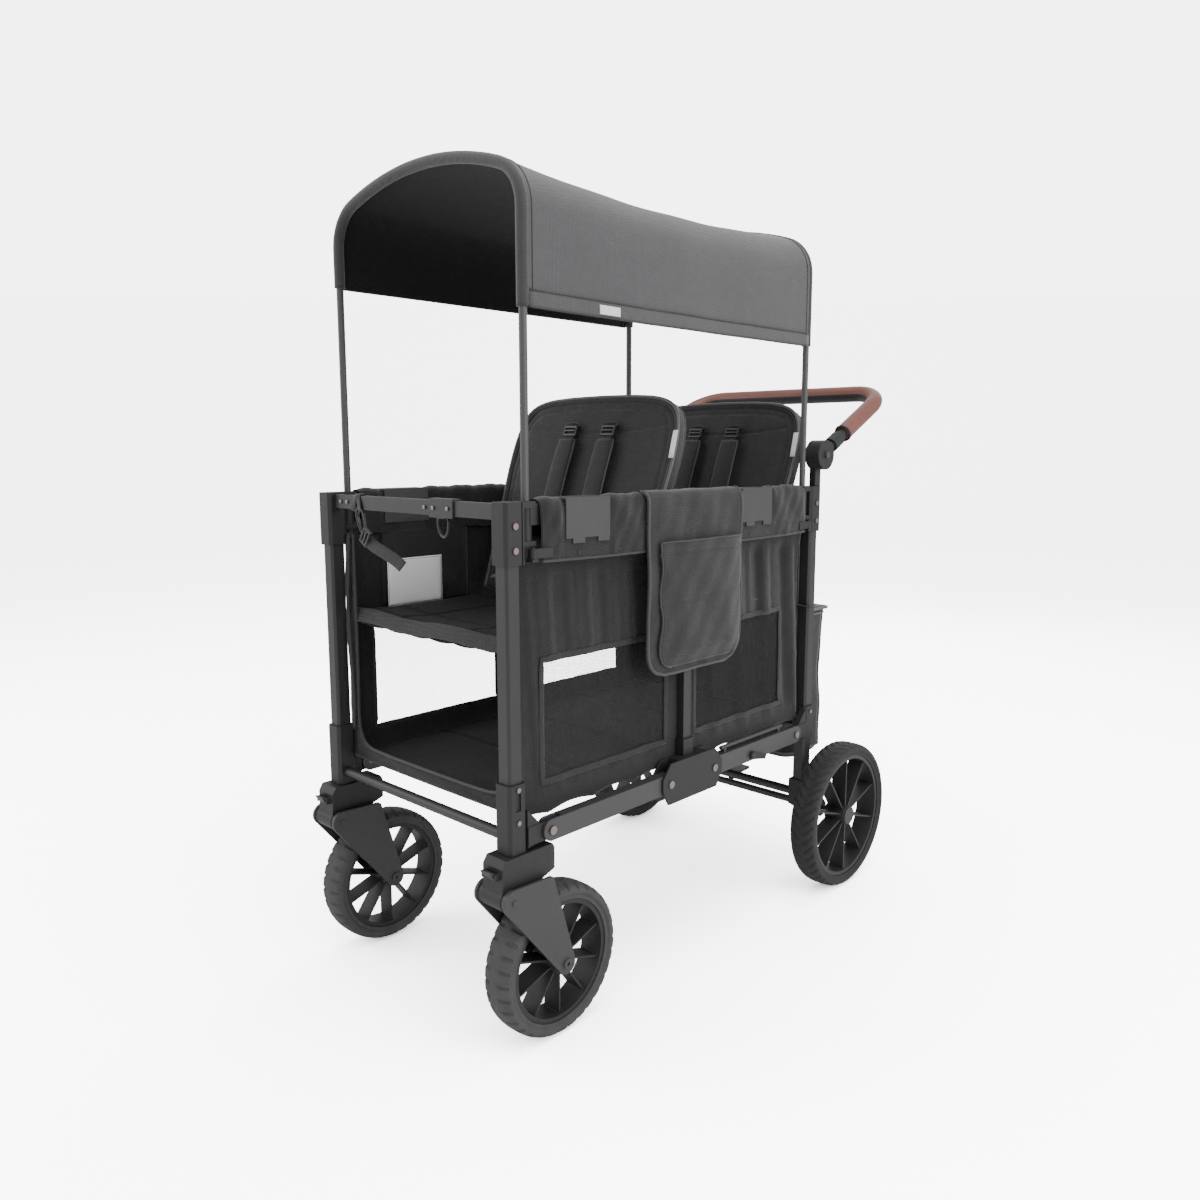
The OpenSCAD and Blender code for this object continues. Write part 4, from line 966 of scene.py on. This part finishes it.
for label, hinge, piece in BACKS:
    body = f"{label}_seat_back"
    place = on_back(hinge)
    for s, hand in SIDES:
        strap = softened([[s * 50, 9, 352], [s * 50, -3, 347], [s * 50, -7, 338], [s * 50, -9, 322],
                          [s * 51, -11, 260], [s * 52, -14, 200], [s * 48, -22, 150],
                          [s * 34, -52, 96], [s * 20, -88, 66], [s * 12, -102, 60]])
        shares = [max(0, k / len(strap) - 0.6) for k in range(len(strap))]
        squashed(sweep(f"{label}_shoulder_strap_{hand}", [place(*p) for p in strap], STRAP, webbing,
                       up=[(FACE + UPRIGHT * 1.2 * share).normalized() for share in shares]), body)

        def pad_at(t, out=0.0, depth=-12.5):
            return place(s * (50.5 + 1.2 * t) + out, depth - 2.5 * math.sin(math.pi * t),
                         316 - 142 * t)

        pad = sweep(f"{label}_shoulder_pad_{hand}", [pad_at(t) for t in PAD_SHARES], PAD_SECTION,
                    back_cloth, up=FACE,
                    swell=lambda t: pad_width(t) - 0.03 * math.sin(t * 19) ** 2)
        squashed(pad, body)
        edge = [pad_at(t, e * 22.2 * pad_width(t), -12.2)
                for e, way in ((-1, PAD_SHARES), (1, PAD_SHARES[::-1])) for t in way]
        squashed(sweep(f"{label}_shoulder_pad_piping_{hand}", edge, round_section(1.5, 8),
                       pale_piping, closed=True), body)
        rungs = [bar("rung", place(s * 50, -10.5, up), ACROSS, UP_BACK, FACE, size, gloss_nylon)
                 for up, size in ((343, (0.033, 0.0045, 0.005)), (335, (0.031, 0.0035, 0.0075)),
                                  (327, (0.033, 0.0045, 0.005)))]
        rungs += [bar("cheek", place(s * 50 + e * 15.2, -10, 335), ACROSS, UP_BACK, FACE,
                      (0.0035, 0.021, 0.005), gloss_nylon) for e in (-1, 1)]
        squashed(joined(f"{label}_ladder_buckle_{hand}", rungs), body)
        lap = softened([[s * 118, 2, 24], [s * 112, -12, 22], [s * 80, -62, 30], [s * 40, -98, 50],
                        [s * 14, -104, 58]])
        squashed(sweep(f"{label}_lap_strap_{hand}", [place(*p) for p in lap], STRAP, webbing,
                       up=Vector((0, -0.35, 0.94))), body)
        slot_rim = [place(s * 50 + 19 * math.cos(a), -6.6, 349 + 4.2 * math.sin(a))
                    for a in (2 * math.pi * k / 24 for k in range(24))]
        squashed(sweep(f"{label}_strap_slot_{hand}", slot_rim, round_section(1.3, 8), dark_piping,
                       closed=True), body)
    crotch = softened([[0, -150, 8], [0, -128, 24], [0, -112, 48], [0, -106, 58]])
    squashed(sweep(f"{label}_crotch_strap", [place(*p) for p in crotch], STRAP, webbing,
                   up=Vector((0, -0.8, 0.6))), body)
    centre, out = place(0, -104, 60), Vector((0, -0.5, 0.866))
    clasp = [bar(part, centre + ACROSS * across + out * proud, ACROSS, out.cross(ACROSS), out,
                 size, gloss_nylon, corner)
             for part, across, proud, size, corner in (
                 ("shell", 0, 0, (0.046, 0.05, 0.016), 0.005),
                 ("button", 0, 0.008, (0.022, 0.022, 0.005), 0.002),
                 ("tongue_a", 0.027, 0, (0.014, 0.03, 0.008), 0.002),
                 ("tongue_b", -0.027, 0, (0.014, 0.03, 0.008), 0.002))]
    squashed(joined(f"{label}_harness_buckle", clasp), body)

# ---- Side pouch ----
# A flat organiser hung over the middle of the near rail: a lined panel with rounded lower
# corners and a corded edge, and one gusseted pocket whose mouth is bound in a wide hem.

pouch_low, pouch_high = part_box("side_pouch")
POUCH_HALF, POUCH_LOW, POUCH_R = (pouch_high.y - pouch_low.y) * 500, pouch_low.z * 1000 + 1, 45
HANG = softened([[221, 842], [221.5, 862], [226, 870.5], [238, 872.5], [252, 872], [261.5, 867],
                 [264.5, 850], [265, 760], [264.5, 660], [263.5, POUCH_LOW]])


def panel_half(z, low=POUCH_LOW, half=POUCH_HALF, corner=POUCH_R):
    """Half the width of a panel with rounded lower corners, at height z."""
    drop = max(0.0, min(corner, low + corner - z))
    return half - corner + math.sqrt(max(0.0, corner ** 2 - drop ** 2))


def pouch_point(u, v):
    x, z = along(HANG, v)
    outside = x > 245 and z < 866
    y = (2 * u - 1) * (panel_half(z) if outside else POUCH_HALF)
    ripple = 1.1 * math.sin(y * 0.055 + z * 0.03) + 0.5 * math.sin(y * 0.14 - z * 0.05)
    return at(x + (ripple + 0.8 if outside else 0), y, z + (0 if outside else ripple * 0.4))


pouch = grid("pouch_panel", pouch_point, 56, 110, black_padded, 0.0022)
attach(pouch, "middle")
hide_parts("side_pouch")
edge = [pouch_point(0, v / 60) for v in range(8, 61)]
edge += [pouch_point(k / 20, 1) for k in range(1, 20)]
edge += [pouch_point(1, v / 60) for v in range(60, 7, -1)]
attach(sweep("pouch_piping", edge, round_section(3.2), edge_piping), "middle")

POCKET_Y, POCKET_HALF, POCKET_LOW, POCKET_HIGH = 11, 115, POUCH_LOW + 12, 786
POUCH_FACE = 264.5


def pocket_point(u, v):
    z = POCKET_LOW + (POCKET_HIGH - POCKET_LOW) * v
    y = POCKET_Y + (2 * u - 1) * panel_half(z, POCKET_LOW, POCKET_HALF, 30)
    open_side = 1 - ramp(u, 0.0, 0.16) if v > 0.12 else 0
    crown = (ramp(u, 0, 0.3) * ramp(1 - u, 0, 0.22)) ** 0.6 * ramp(v, 0, 0.14)
    crease = math.exp(-((z - 684 - 0.06 * y) / 4) ** 2) + 1.2 * math.exp(-((z - 764) / 2.5) ** 2)
    bulge = 4 + 8.5 * crown + 4.5 * open_side * (0.6 + 0.4 * math.sin(z * 0.06)) - 1.6 * crease
    bulge += 0.9 * math.sin(y * 0.05 + z * 0.035) * crown + 0.5 * math.sin(y * 0.12 - z * 0.08)
    y -= 2.5 * open_side * math.sin(z * 0.075)
    return at(POUCH_FACE + bulge, y, z)


pocket = grid("pouch_pocket", pocket_point, 52, 52, black_padded, 0.0018)
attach(pocket, "middle")
for name, spot in (("near_edge", lambda t: (0.0, t)), ("mouth", lambda t: (t, 1.0))):
    path = [pocket_point(*spot(k / 40)) for k in range(41)]
    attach(sweep(f"pouch_pocket_{name}", path, round_section(1.7, 8), dark_piping), "middle")
gusset_points = []
for k in range(31):
    outer = pocket_point(0.0, k / 30)
    inner = Vector(((POUCH_FACE + 0.7) / 1000, outer.y, outer.z))
    gusset_points += [outer, (outer + inner) / 2 + Vector((0, 0.005, 0)), inner]
gusset_faces = [(k + j, k + j + 1, k + j + 4, k + j + 3) for k in range(0, 90, 3) for j in range(2)]
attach(mesh_of("pouch_gusset", gusset_points, gusset_faces, black_padded), "middle")

# ---- Rear bag ----
# A soft storage bag hung behind the rear posts: a body with rounded corners that sags between
# its corded edges, a flap pocket on its back, and a padded lid hinged along the frame side.

bag_low, bag_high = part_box("rear_basket")
BAG_X = (bag_high.x - bag_low.x) * 500
BAG_Y1, BAG_Y2, BAG_CORNER = 425.5, 569.5, 26
BAG_MIDDLE = (BAG_Y1 + BAG_Y2) / 2
BAG_Z1, BAG_Z2 = bag_low.z * 1000, bag_high.z * 1000


def ring(t, half_x, y1, y2, corner):
    """The point at share t round a rectangle with rounded corners."""
    outline = box_outline(half_x, y1, y2, corner)
    return along(outline + [outline[0]], t)


def bag_point(u, v):
    z = BAG_Z1 + (BAG_Z2 - BAG_Z1) * v
    tuck = 9 * (1 - ramp(v, 0, 0.06)) ** 2
    x, y = ring(u % 1, BAG_X - 2 - tuck, BAG_Y1 + 1 + tuck, BAG_Y2 - 2 - tuck, BAG_CORNER)
    wave = 2.4 * math.sin(x * 0.035 + z * 0.02) + 2.0 * math.sin(z * 0.045 + y * 0.03)
    slack = math.sin(math.pi * min(1, v * 1.05)) * (wave - 2.5)
    pinch = 1 - 0.012 * math.sin(math.pi * v)
    return at(x * pinch + slack * math.copysign(0.5, x) * (abs(x) > 150),
              BAG_MIDDLE + (y - BAG_MIDDLE) * pinch + slack * 0.7 * (y > BAG_MIDDLE), z)


bag = grid("rear_bag", bag_point, 168, 54, black_padded, 0.002)
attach(bag, "rear_frame")
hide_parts("rear_basket")


def bag_floor_point(u, v):
    x, y = ring(u % 1, BAG_X - 11, BAG_Y1 + 10, BAG_Y2 - 11, BAG_CORNER)
    return at(x * v, BAG_MIDDLE + (y - BAG_MIDDLE) * v, BAG_Z1 + 1 + 1.5 * (1 - v))


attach(grid("rear_bag_floor", bag_floor_point, 84, 8, black_padded, 0.002), "rear_frame")
for name, v, radius in (("foot", 0.035, 2.6), ("rim", 0.985, 3.0)):
    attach(sweep(f"rear_bag_{name}_piping", [bag_point(k / 160, v) for k in range(160)],
                  round_section(radius), pale_piping, closed=True), "rear_frame")
for k, u in enumerate((0.045, 0.435, 0.56, 0.94)):
    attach(sweep(f"rear_bag_seam_{k + 1}", [bag_point(u, j / 30) for j in range(1, 31)],
                  round_section(2.2, 8), dark_piping), "rear_frame")


def flap_point(half, top, drop, stand):
    def point(u, v):
        z = top - drop * v
        w = panel_half(z, top - drop, half, 22)
        x = (2 * u - 1) * w
        puff = ramp(min(u, 1 - u), 0, 0.18) * ramp(min(v, 1 - v) + 0.06, 0, 0.2)
        return at(x, BAG_Y2 - 1 + stand + 6 * puff + 0.8 * math.sin(x * 0.05 + z * 0.06), z)
    return point


for name, half, top, drop, stand in (("pocket", 112, 500, 190, 1.5),
                                     ("flap", 118, 520, 72, 8.5)):
    point = flap_point(half, top, drop, stand)
    piece = grid(f"rear_bag_{name}", point, 40, 30, black_padded, 0.0022)
    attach(piece, "rear_frame")
    path = [point(0, j / 20) for j in range(21)] + [point(j / 24, 1) for j in range(1, 24)]
    path += [point(1, j / 20) for j in range(20, -1, -1)]
    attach(sweep(f"rear_bag_{name}_piping", path, round_section(1.9, 8), dark_piping),
            "rear_frame")
for s, hand in SIDES:
    hanger = softened([[s * 186, 431, 560], [s * 190, 428, 596], [s * 214, 424, 612],
                       [s * 226, 408, 616], [s * 236, 400.5, 616], [s * 248, 404, 615],
                       [s * 250, 416, 613]])
    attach(sweep(f"rear_bag_hanger_{hand}", [at(*p) for p in hanger], flat_section(24, 1.8),
                  webbing, up=Vector((0, 0.2, 1))), "rear_frame")

LID_X, LID_Y, LID_DEEP, LID_Z = 201, 500.7, 70.5, 590.2


def lid_point(u, v):
    """Closed skin of the padded lid, round each cross-section from side to side."""
    lying, turn = 2 * u - 1, v * 2 * math.pi
    deep, up = math.cos(turn), math.sin(turn)
    pinch = (1 - abs(lying) ** 14) ** 0.5
    crown = 2.6 * (1 - (lying * 0.9) ** 2) * (1 - (deep * 0.9) ** 2) if up > 0 else 0
    return at(lying * LID_X, LID_Y + power(deep, 0.3) * (LID_DEEP - 5 * (1 - pinch)),
              LID_Z + power(up, 0.6) * (4.2 * pinch + crown))


lid = sewn_shut(grid("rear_bag_lid", lid_point, 90, 60, black_padded), ends=False)
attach(lid, "basket_lid")
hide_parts("basket_lid")
lid_edge = [at(x, y, LID_Z) for x, y in box_outline(200.5, 431, 570.5, 12)]
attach(sweep("rear_bag_lid_piping", lid_edge, round_section(3.1), pale_piping, closed=True),
        "basket_lid")
REARWARD = Vector((0, 1, 0))
zip_pull = [bar(part, at(60, y, z), ACROSS, UPRIGHT, REARWARD, size, gloss_nylon)
            for part, y, z, size in (("pull", 573.5, 584, (0.007, 0.02, 0.0022)),
                                     ("slider", 572.5, 594, (0.009, 0.008, 0.004)))]
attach(joined("rear_bag_zip_pull", zip_pull), "basket_lid")

# ---- Canopy ----
# One sheet of grey cloth, black-lined, sewn at both ends into darker sleeves that slide over the
# hoops. It sags between them, and its two long edges are turned up in a wide stitched hem.

canopy_grey = woven("canopy_polyester", grey(0.046), grey(0.074), pitch=0.0014, rough=0.72,
                    sheen=0.3)
lining = woven("canopy_lining", grey(0.003), grey(0.007), pitch=0.0014, rough=0.85, sheen=0.1)
POLE_X, POLE_Y, POLE_R, CROWN_R, SHOULDER_R = 238, 382, 6.25, 580.75, 69.75
SHOULDER_X = POLE_X - SHOULDER_R
CROWN_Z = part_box("front_hoop")[1].z * 1000 - POLE_R - CROWN_R
SHOULDER_A = math.acos(SHOULDER_X / (CROWN_R - SHOULDER_R))
SHOULDER_Z = CROWN_Z + (CROWN_R - SHOULDER_R) * math.sin(SHOULDER_A)
NEAR_HEM, FAR_HEM = 1146, 1222


def arch(grow):
    """The canopy's outline in x and z, grown outwards from the middle of the hoop's tube."""
    shoulder = []
    for k in range(9):
        a = SHOULDER_A * k / 8
        shoulder.append([SHOULDER_X + (SHOULDER_R + grow) * math.cos(a),
                         SHOULDER_Z + (SHOULDER_R + grow) * math.sin(a)])
    line = [[POLE_X + grow, NEAR_HEM], [POLE_X + grow, (NEAR_HEM + SHOULDER_Z) / 2], *shoulder]
    for k in range(1, 24):
        a = SHOULDER_A + (math.pi - 2 * SHOULDER_A) * k / 24
        line.append([(CROWN_R + grow) * math.cos(a), CROWN_Z + (CROWN_R + grow) * math.sin(a)])
    return line + [[-x, z] for x, z in reversed(shoulder)] + [[-POLE_X - grow, FAR_HEM]]


OUTLINE = arch(7.6)
COVER_Y = POLE_Y + 4


def canopy_point(u, v, lift=0.0):
    x, z = along(OUTLINE, u)
    y = (2 * v - 1) * COVER_Y
    high = ramp(z, 1250, 1360)
    hang = math.sin(math.pi * min(1, max(0, (v - 0.015) / 0.97))) ** 0.8
    inward = hang * (4 + 13 * high) + 0.8 * math.sin(y * 0.03 + x * 0.02) * hang
    out = Vector((x, (z - 1100) * (0.25 + high))).normalized()
    return at(x - out.x * (inward - lift), y, z - out.y * (inward - lift))


def on_canopy(piece):
    """Rides on the rear hoop, on a copy of its own mesh."""
    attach(piece, "rear_hoop")
    at(0, POLE_Y, 0)
    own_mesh(piece)


canopy = grid("canopy_cloth", lambda u, v: canopy_point(1 - u, v), 96, 72, canopy_grey,
              CLOTH_THICK)
canopy.data.materials.append(lining)
canopy.modifiers["Thickness"].material_offset = 1
canopy.modifiers["Thickness"].offset = -1
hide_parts("canopy_sheet")
on_canopy(canopy)
span = sum(math.dist(a, b) for a, b in zip(OUTLINE, OUTLINE[1:])) / 1000
sleeve_cloth = woven("canopy_sleeve", grey(0.024), grey(0.042), pitch=0.0014, rough=0.7, sheen=0.3)
SLEEVE, HEM_IN = arch(0), 0.013
for label, y, body in (("front", -POLE_Y, "front_hoop"), ("rear", POLE_Y, "rear_hoop")):
    path = [at(x, y, z) for x, z in (along(SLEEVE, k / 120) for k in range(121))]
    sleeve = sweep(f"canopy_sleeve_{label}", path, round_section(9.3, 16), sleeve_cloth)
    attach(sleeve, body)
for name, v in (("front", 0.022), ("rear", 0.978)):
    for side, lift, material in (("outer", 0.5, dark_piping), ("inner", -2.2, pale_piping)):
        seam = [canopy_point(k / 110, v, lift) for k in range(111)]
        on_canopy(sweep(f"canopy_seam_{name}_{side}", seam, round_section(0.9, 6), material))
for name, u, step in (("near", 0.0, 1), ("far", 1.0, -1)):
    for part, near_u, lift, section, material in (
            ("band", HEM_IN, 0.8, flat_section(22, 1.6), canopy_grey),
            ("stitch", 0.03, 1.6, round_section(0.9, 6), dark_piping),
            ("edge", 0.0, 0.4, round_section(2.0, 8), dark_piping)):
        hem = [canopy_point(u + step * near_u, 0.012 + 0.976 * k / 80, lift) for k in range(81)]
        on_canopy(sweep(f"canopy_hem_{part}_{name}", hem, section, material,
                        up=Vector((step, 0, 0))))
tag_line = [canopy_point(HEM_IN, 0.205 + 0.062 * k / 8, 2.2) for k in range(9)]
on_canopy(sweep("canopy_tag", tag_line, flat_section(14, 0.8), tag_white, up=ACROSS))

# ---- Handle grip ----
# The crossbar and both bends are wrapped in brown leather, laced shut along the underside with
# waxed thread, with a black rubber strip inside the loop and a moulded ring at each end.

PIVOT_Y, PIVOT_Z, TILT = 424.0, 930.0, math.radians(27)
GRIP_R, GRIP_FROM, GRIP_BAR, GRIP_X, GRIP_BEND = 17.5, 98.0, 300.0, 254.0, 70.0
DARK_HIDE, RED_HIDE = (0.085, 0.024, 0.016, 1), (0.18, 0.058, 0.04, 1)
WORN_HIDE = (0.24, 0.085, 0.06, 1)


def grip_leather():
    f = Finish("brown_leather")
    pores = f.node("ShaderNodeTexVoronoi", {"feature": "SMOOTH_F1"},
                   {"Vector": f.place(), "Scale": 620.0})
    creases = f.noise(85, 4)
    wearing = f.noise(13, 3)
    shade = (pores * 0.5 + creases * 0.5).clamped()
    colour = f.mix(wearing * 0.5, f.mix(shade, DARK_HIDE, RED_HIDE), WORN_HIDE)
    return f.surface(Base_Color=colour, Roughness=0.4 + creases * 0.2,
                     Normal=f.bump(pores + creases * 0.6, 0.0007, 0.55), Specular_IOR_Level=0.45,
                     Coat_Weight=0.12 + wearing * 0.1, Coat_Roughness=0.35)


def on_handle(x, reach, drop):
    """A place on the handle in its own tilted plane, reach mm from its pivots and drop below."""
    return at(x, PIVOT_Y + reach * math.cos(TILT) + drop * math.sin(TILT),
              PIVOT_Z + reach * math.sin(TILT) - drop * math.cos(TILT))


wear(grip_leather(), "handle_grip")
spine = [(GRIP_X, GRIP_FROM + (GRIP_BAR - GRIP_BEND - GRIP_FROM) * k / 20) for k in range(21)]
spine += [(GRIP_X - GRIP_BEND * (1 - math.cos(a)), GRIP_BAR - GRIP_BEND * (1 - math.sin(a)))
          for a in (math.pi / 2 * k / 16 for k in range(1, 17))]
spine += [(x, GRIP_BAR) for x in range(int(GRIP_X - GRIP_BEND) - 8, -1, -8)]
spine += [(-x, reach) for x, reach in reversed(spine) if x > 0]
thread = satin("waxed_thread", 0.05)
seam = [on_handle(x, reach, GRIP_R + 0.1) for x, reach in spine]
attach(sweep("grip_seam", seam, round_section(0.9, 6), thread), "handle")
stitches = []
for k in range(2, len(spine) - 2):
    (x1, r1), (x2, r2) = spine[k - 1], spine[k + 1]
    run = Vector((x2 - x1, r2 - r1)).normalized()
    x, reach = spine[k]
    ends = [on_handle(x - run.y * s * 4 + run.x * s * 1.5, reach + run.x * s * 4 + run.y * s * 1.5,
                      GRIP_R - 0.1) for s in (-1, 0, 1)]
    ends[1] = on_handle(x, reach, GRIP_R + 1.1)
    stitches.append(sweep("stitch", ends, round_section(0.55, 6), thread))
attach(joined("grip_stitches", stitches), "handle")
turns = [math.radians(a) for a in range(-25, 76, 10)]
liner_section = [(-math.cos(a) * r / 1000, -math.sin(a) * r / 1000)
                 for r, order in ((GRIP_R + 0.45, turns), (GRIP_R - 0.5, turns[::-1]))
                 for a in order]
liner_rubber = moulded("grip_liner_rubber", 0.012, 0.55, grain=700)
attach(sweep("grip_liner", [on_handle(x, reach, 0) for x, reach in spine[1:-1]], liner_section,
              liner_rubber, up=Vector((0, -math.sin(TILT), math.cos(TILT)))), "handle")
RING_R = GRIP_R - 1
for s, hand in SIDES:
    ring_path = [on_handle(s * GRIP_X + RING_R * math.cos(a), GRIP_FROM + 1, RING_R * math.sin(a))
                 for a in (2 * math.pi * k / 40 for k in range(40))]
    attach(sweep(f"grip_ring_{hand}", ring_path, round_section(2.6), gloss_nylon, closed=True),
            "handle")

# ---- Front bar hook and ring ----
# Two webbing slings round the front bar carry a snap hook and a short hanging strap with its
# ladder buckle. A moulded ring hangs from a riveted saddle under the bar's sleeve.

BAR_Y, BAR_Z = -416.0, 851.0
around = box_outline(8.2, BAR_Y - 8.2, BAR_Y + 8.2, 4)
bar_middle = at(0, BAR_Y, BAR_Z)
for name, x, lean in (("inner", -152, 5), ("outer", -138, -4)):
    loop = [at(x + lean * (b - BAR_Y) / 8, BAR_Y + a, BAR_Z + (b - BAR_Y) * 1.72)
            for a, b in around]
    outwards = [Vector((0, p.y - bar_middle.y, p.z - bar_middle.z)).normalized() for p in loop]
    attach(sweep(f"bar_sling_{name}", loop, flat_section(11, 1.6), webbing, up=outwards,
                  closed=True), "front_frame")


def nylon_ring(name, x, z, half, reach, turn, thick, sides=10, y=BAR_Y - 4):
    """A long ring of half width and reach, turned in the upright plane of the bar."""
    c, s = math.cos(turn), math.sin(turn)
    path = []
    for k in range(36):
        a = 2 * math.pi * k / 36
        u, v = half * math.cos(a), reach * power(math.sin(a), 0.8)
        path.append(at(x + u * c - v * s, y + 1.5 * math.sin(2 * a), z + u * s + v * c))
    return sweep(name, path, round_section(thick, sides), gloss_nylon, closed=True)


hook = [nylon_ring("body", -137, 818, 10, 24, 0.35, 2.7),
        nylon_ring("swivel", -148, 838, 7, 8, 0.2, 2.2, 8),
        sweep("gate", [at(-143, BAR_Y - 7, 828), at(-132, BAR_Y - 7.5, 806)],
              round_section(1.9, 8), gloss_nylon)]
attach(joined("bar_snap_hook", hook), "front_frame")
tail = softened([[-133, -418, 800], [-126, -420, 790], [-104, -419, 778], [-76, -416, 768],
                 [-50, -412, 757], [-34, -411, 748]])
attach(sweep("bar_hanging_strap", [at(*p) for p in tail], flat_section(20, 2.2), webbing,
              up=Vector((0.12, -0.9, 0.42))), "front_frame")
ACROSS_STRAP, DOWN_STRAP = Vector((0.55, 0, 0.83)), Vector((0.83, 0, -0.55))
ladder = [bar("rung", at(x, BAR_Y - 7, z), ACROSS_STRAP, DOWN_STRAP, -REARWARD,
              (0.026, 0.004, 0.005), gloss_nylon)
          for x, z in ((-130, 798), (-123, 793), (-116, 788))]
ladder += [bar("cheek", at(-123 + e * 7, BAR_Y - 6.5, 793 + e * 11), DOWN_STRAP, ACROSS_STRAP,
               -REARWARD, (0.022, 0.004, 0.005), gloss_nylon) for e in (-1, 1)]
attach(joined("bar_strap_buckle", ladder), "front_frame")
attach(nylon_ring("bar_ring", 84, 822, 13, 17, 0.08, 2.3, y=BAR_Y + 1), "front_frame")
saddle = bar("saddle", at(84, BAR_Y + 1, 838), ACROSS, UPRIGHT, REARWARD, (0.022, 0.007, 0.014),
             gloss_nylon)
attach(joined("bar_ring_saddle", [saddle]), "front_frame")
rivets = [bar("rivet", at(x, BAR_Y - proud, BAR_Z), ACROSS, UPRIGHT, -REARWARD,
              (0.006, 0.006, 0.003), bolt_metal, 0.0014)
          for x, proud in ((46, 7.2), (72, 10.2), (108, 10.2), (-196, 7.2), (-176, 7.2))]
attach(joined("bar_rivets", rivets), "front_frame")

# ---- Inner pocket and sewn label ----
# The far wall carries an open pocket under its rail, piped along the mouth, and a blank printed
# satin label on the panel under it, sewn down all round.


def inner_sheet(y1, y2, z1, z2, stand, puff):
    def point(u, v):
        y, z = y1 + (y2 - y1) * u, z1 + (z2 - z1) * v
        full = (ramp(u, 0, 0.12) * ramp(1 - u, 0, 0.12)) ** 0.7 * ramp(v, 0, 0.2)
        fold = 0.9 * math.sin(y * 0.07 + z * 0.04) * full
        return at(-(WALL_X - 2 - stand - puff * full - fold), y, z)
    return point


pocket_in = inner_sheet(-322, -120, 652, 812, 2.4, 6)
inner_pocket = grid("inner_pocket", pocket_in, 40, 26, black_padded, 0.0016)
squashed(inner_pocket)
for name, v, radius in (("mouth", 1.0, 2.4), ("band", 0.86, 1.2)):
    squashed(sweep(f"inner_pocket_{name}", [pocket_in(k / 40, v) for k in range(41)],
                   round_section(radius, 8), dark_piping))
card = woven("label_satin", (0.82, 0.82, 0.82, 1), (0.92, 0.92, 0.92, 1), pitch=0.0007, rough=0.6,
             sheen=0.05, depth=0.0001)
label_in = inner_sheet(-316, -190, 648, 738, 10.4, 0.8)
squashed(grid("inner_label", label_in, 16, 12, card, 0.0005))
stitch_line = [(0.02 + 0.96 * k / 24, 0.03) for k in range(25)]
stitch_line += [(0.98, 0.03 + 0.94 * k / 20) for k in range(1, 21)]
stitch_line += [(0.98 - 0.96 * k / 24, 0.97) for k in range(1, 25)]
stitch_line += [(0.02, 0.97 - 0.94 * k / 20) for k in range(1, 20)]
squashed(sweep("inner_label_stitch", [label_in(u, v) for u, v in stitch_line],
               round_section(0.6, 6), pale_piping, closed=True))
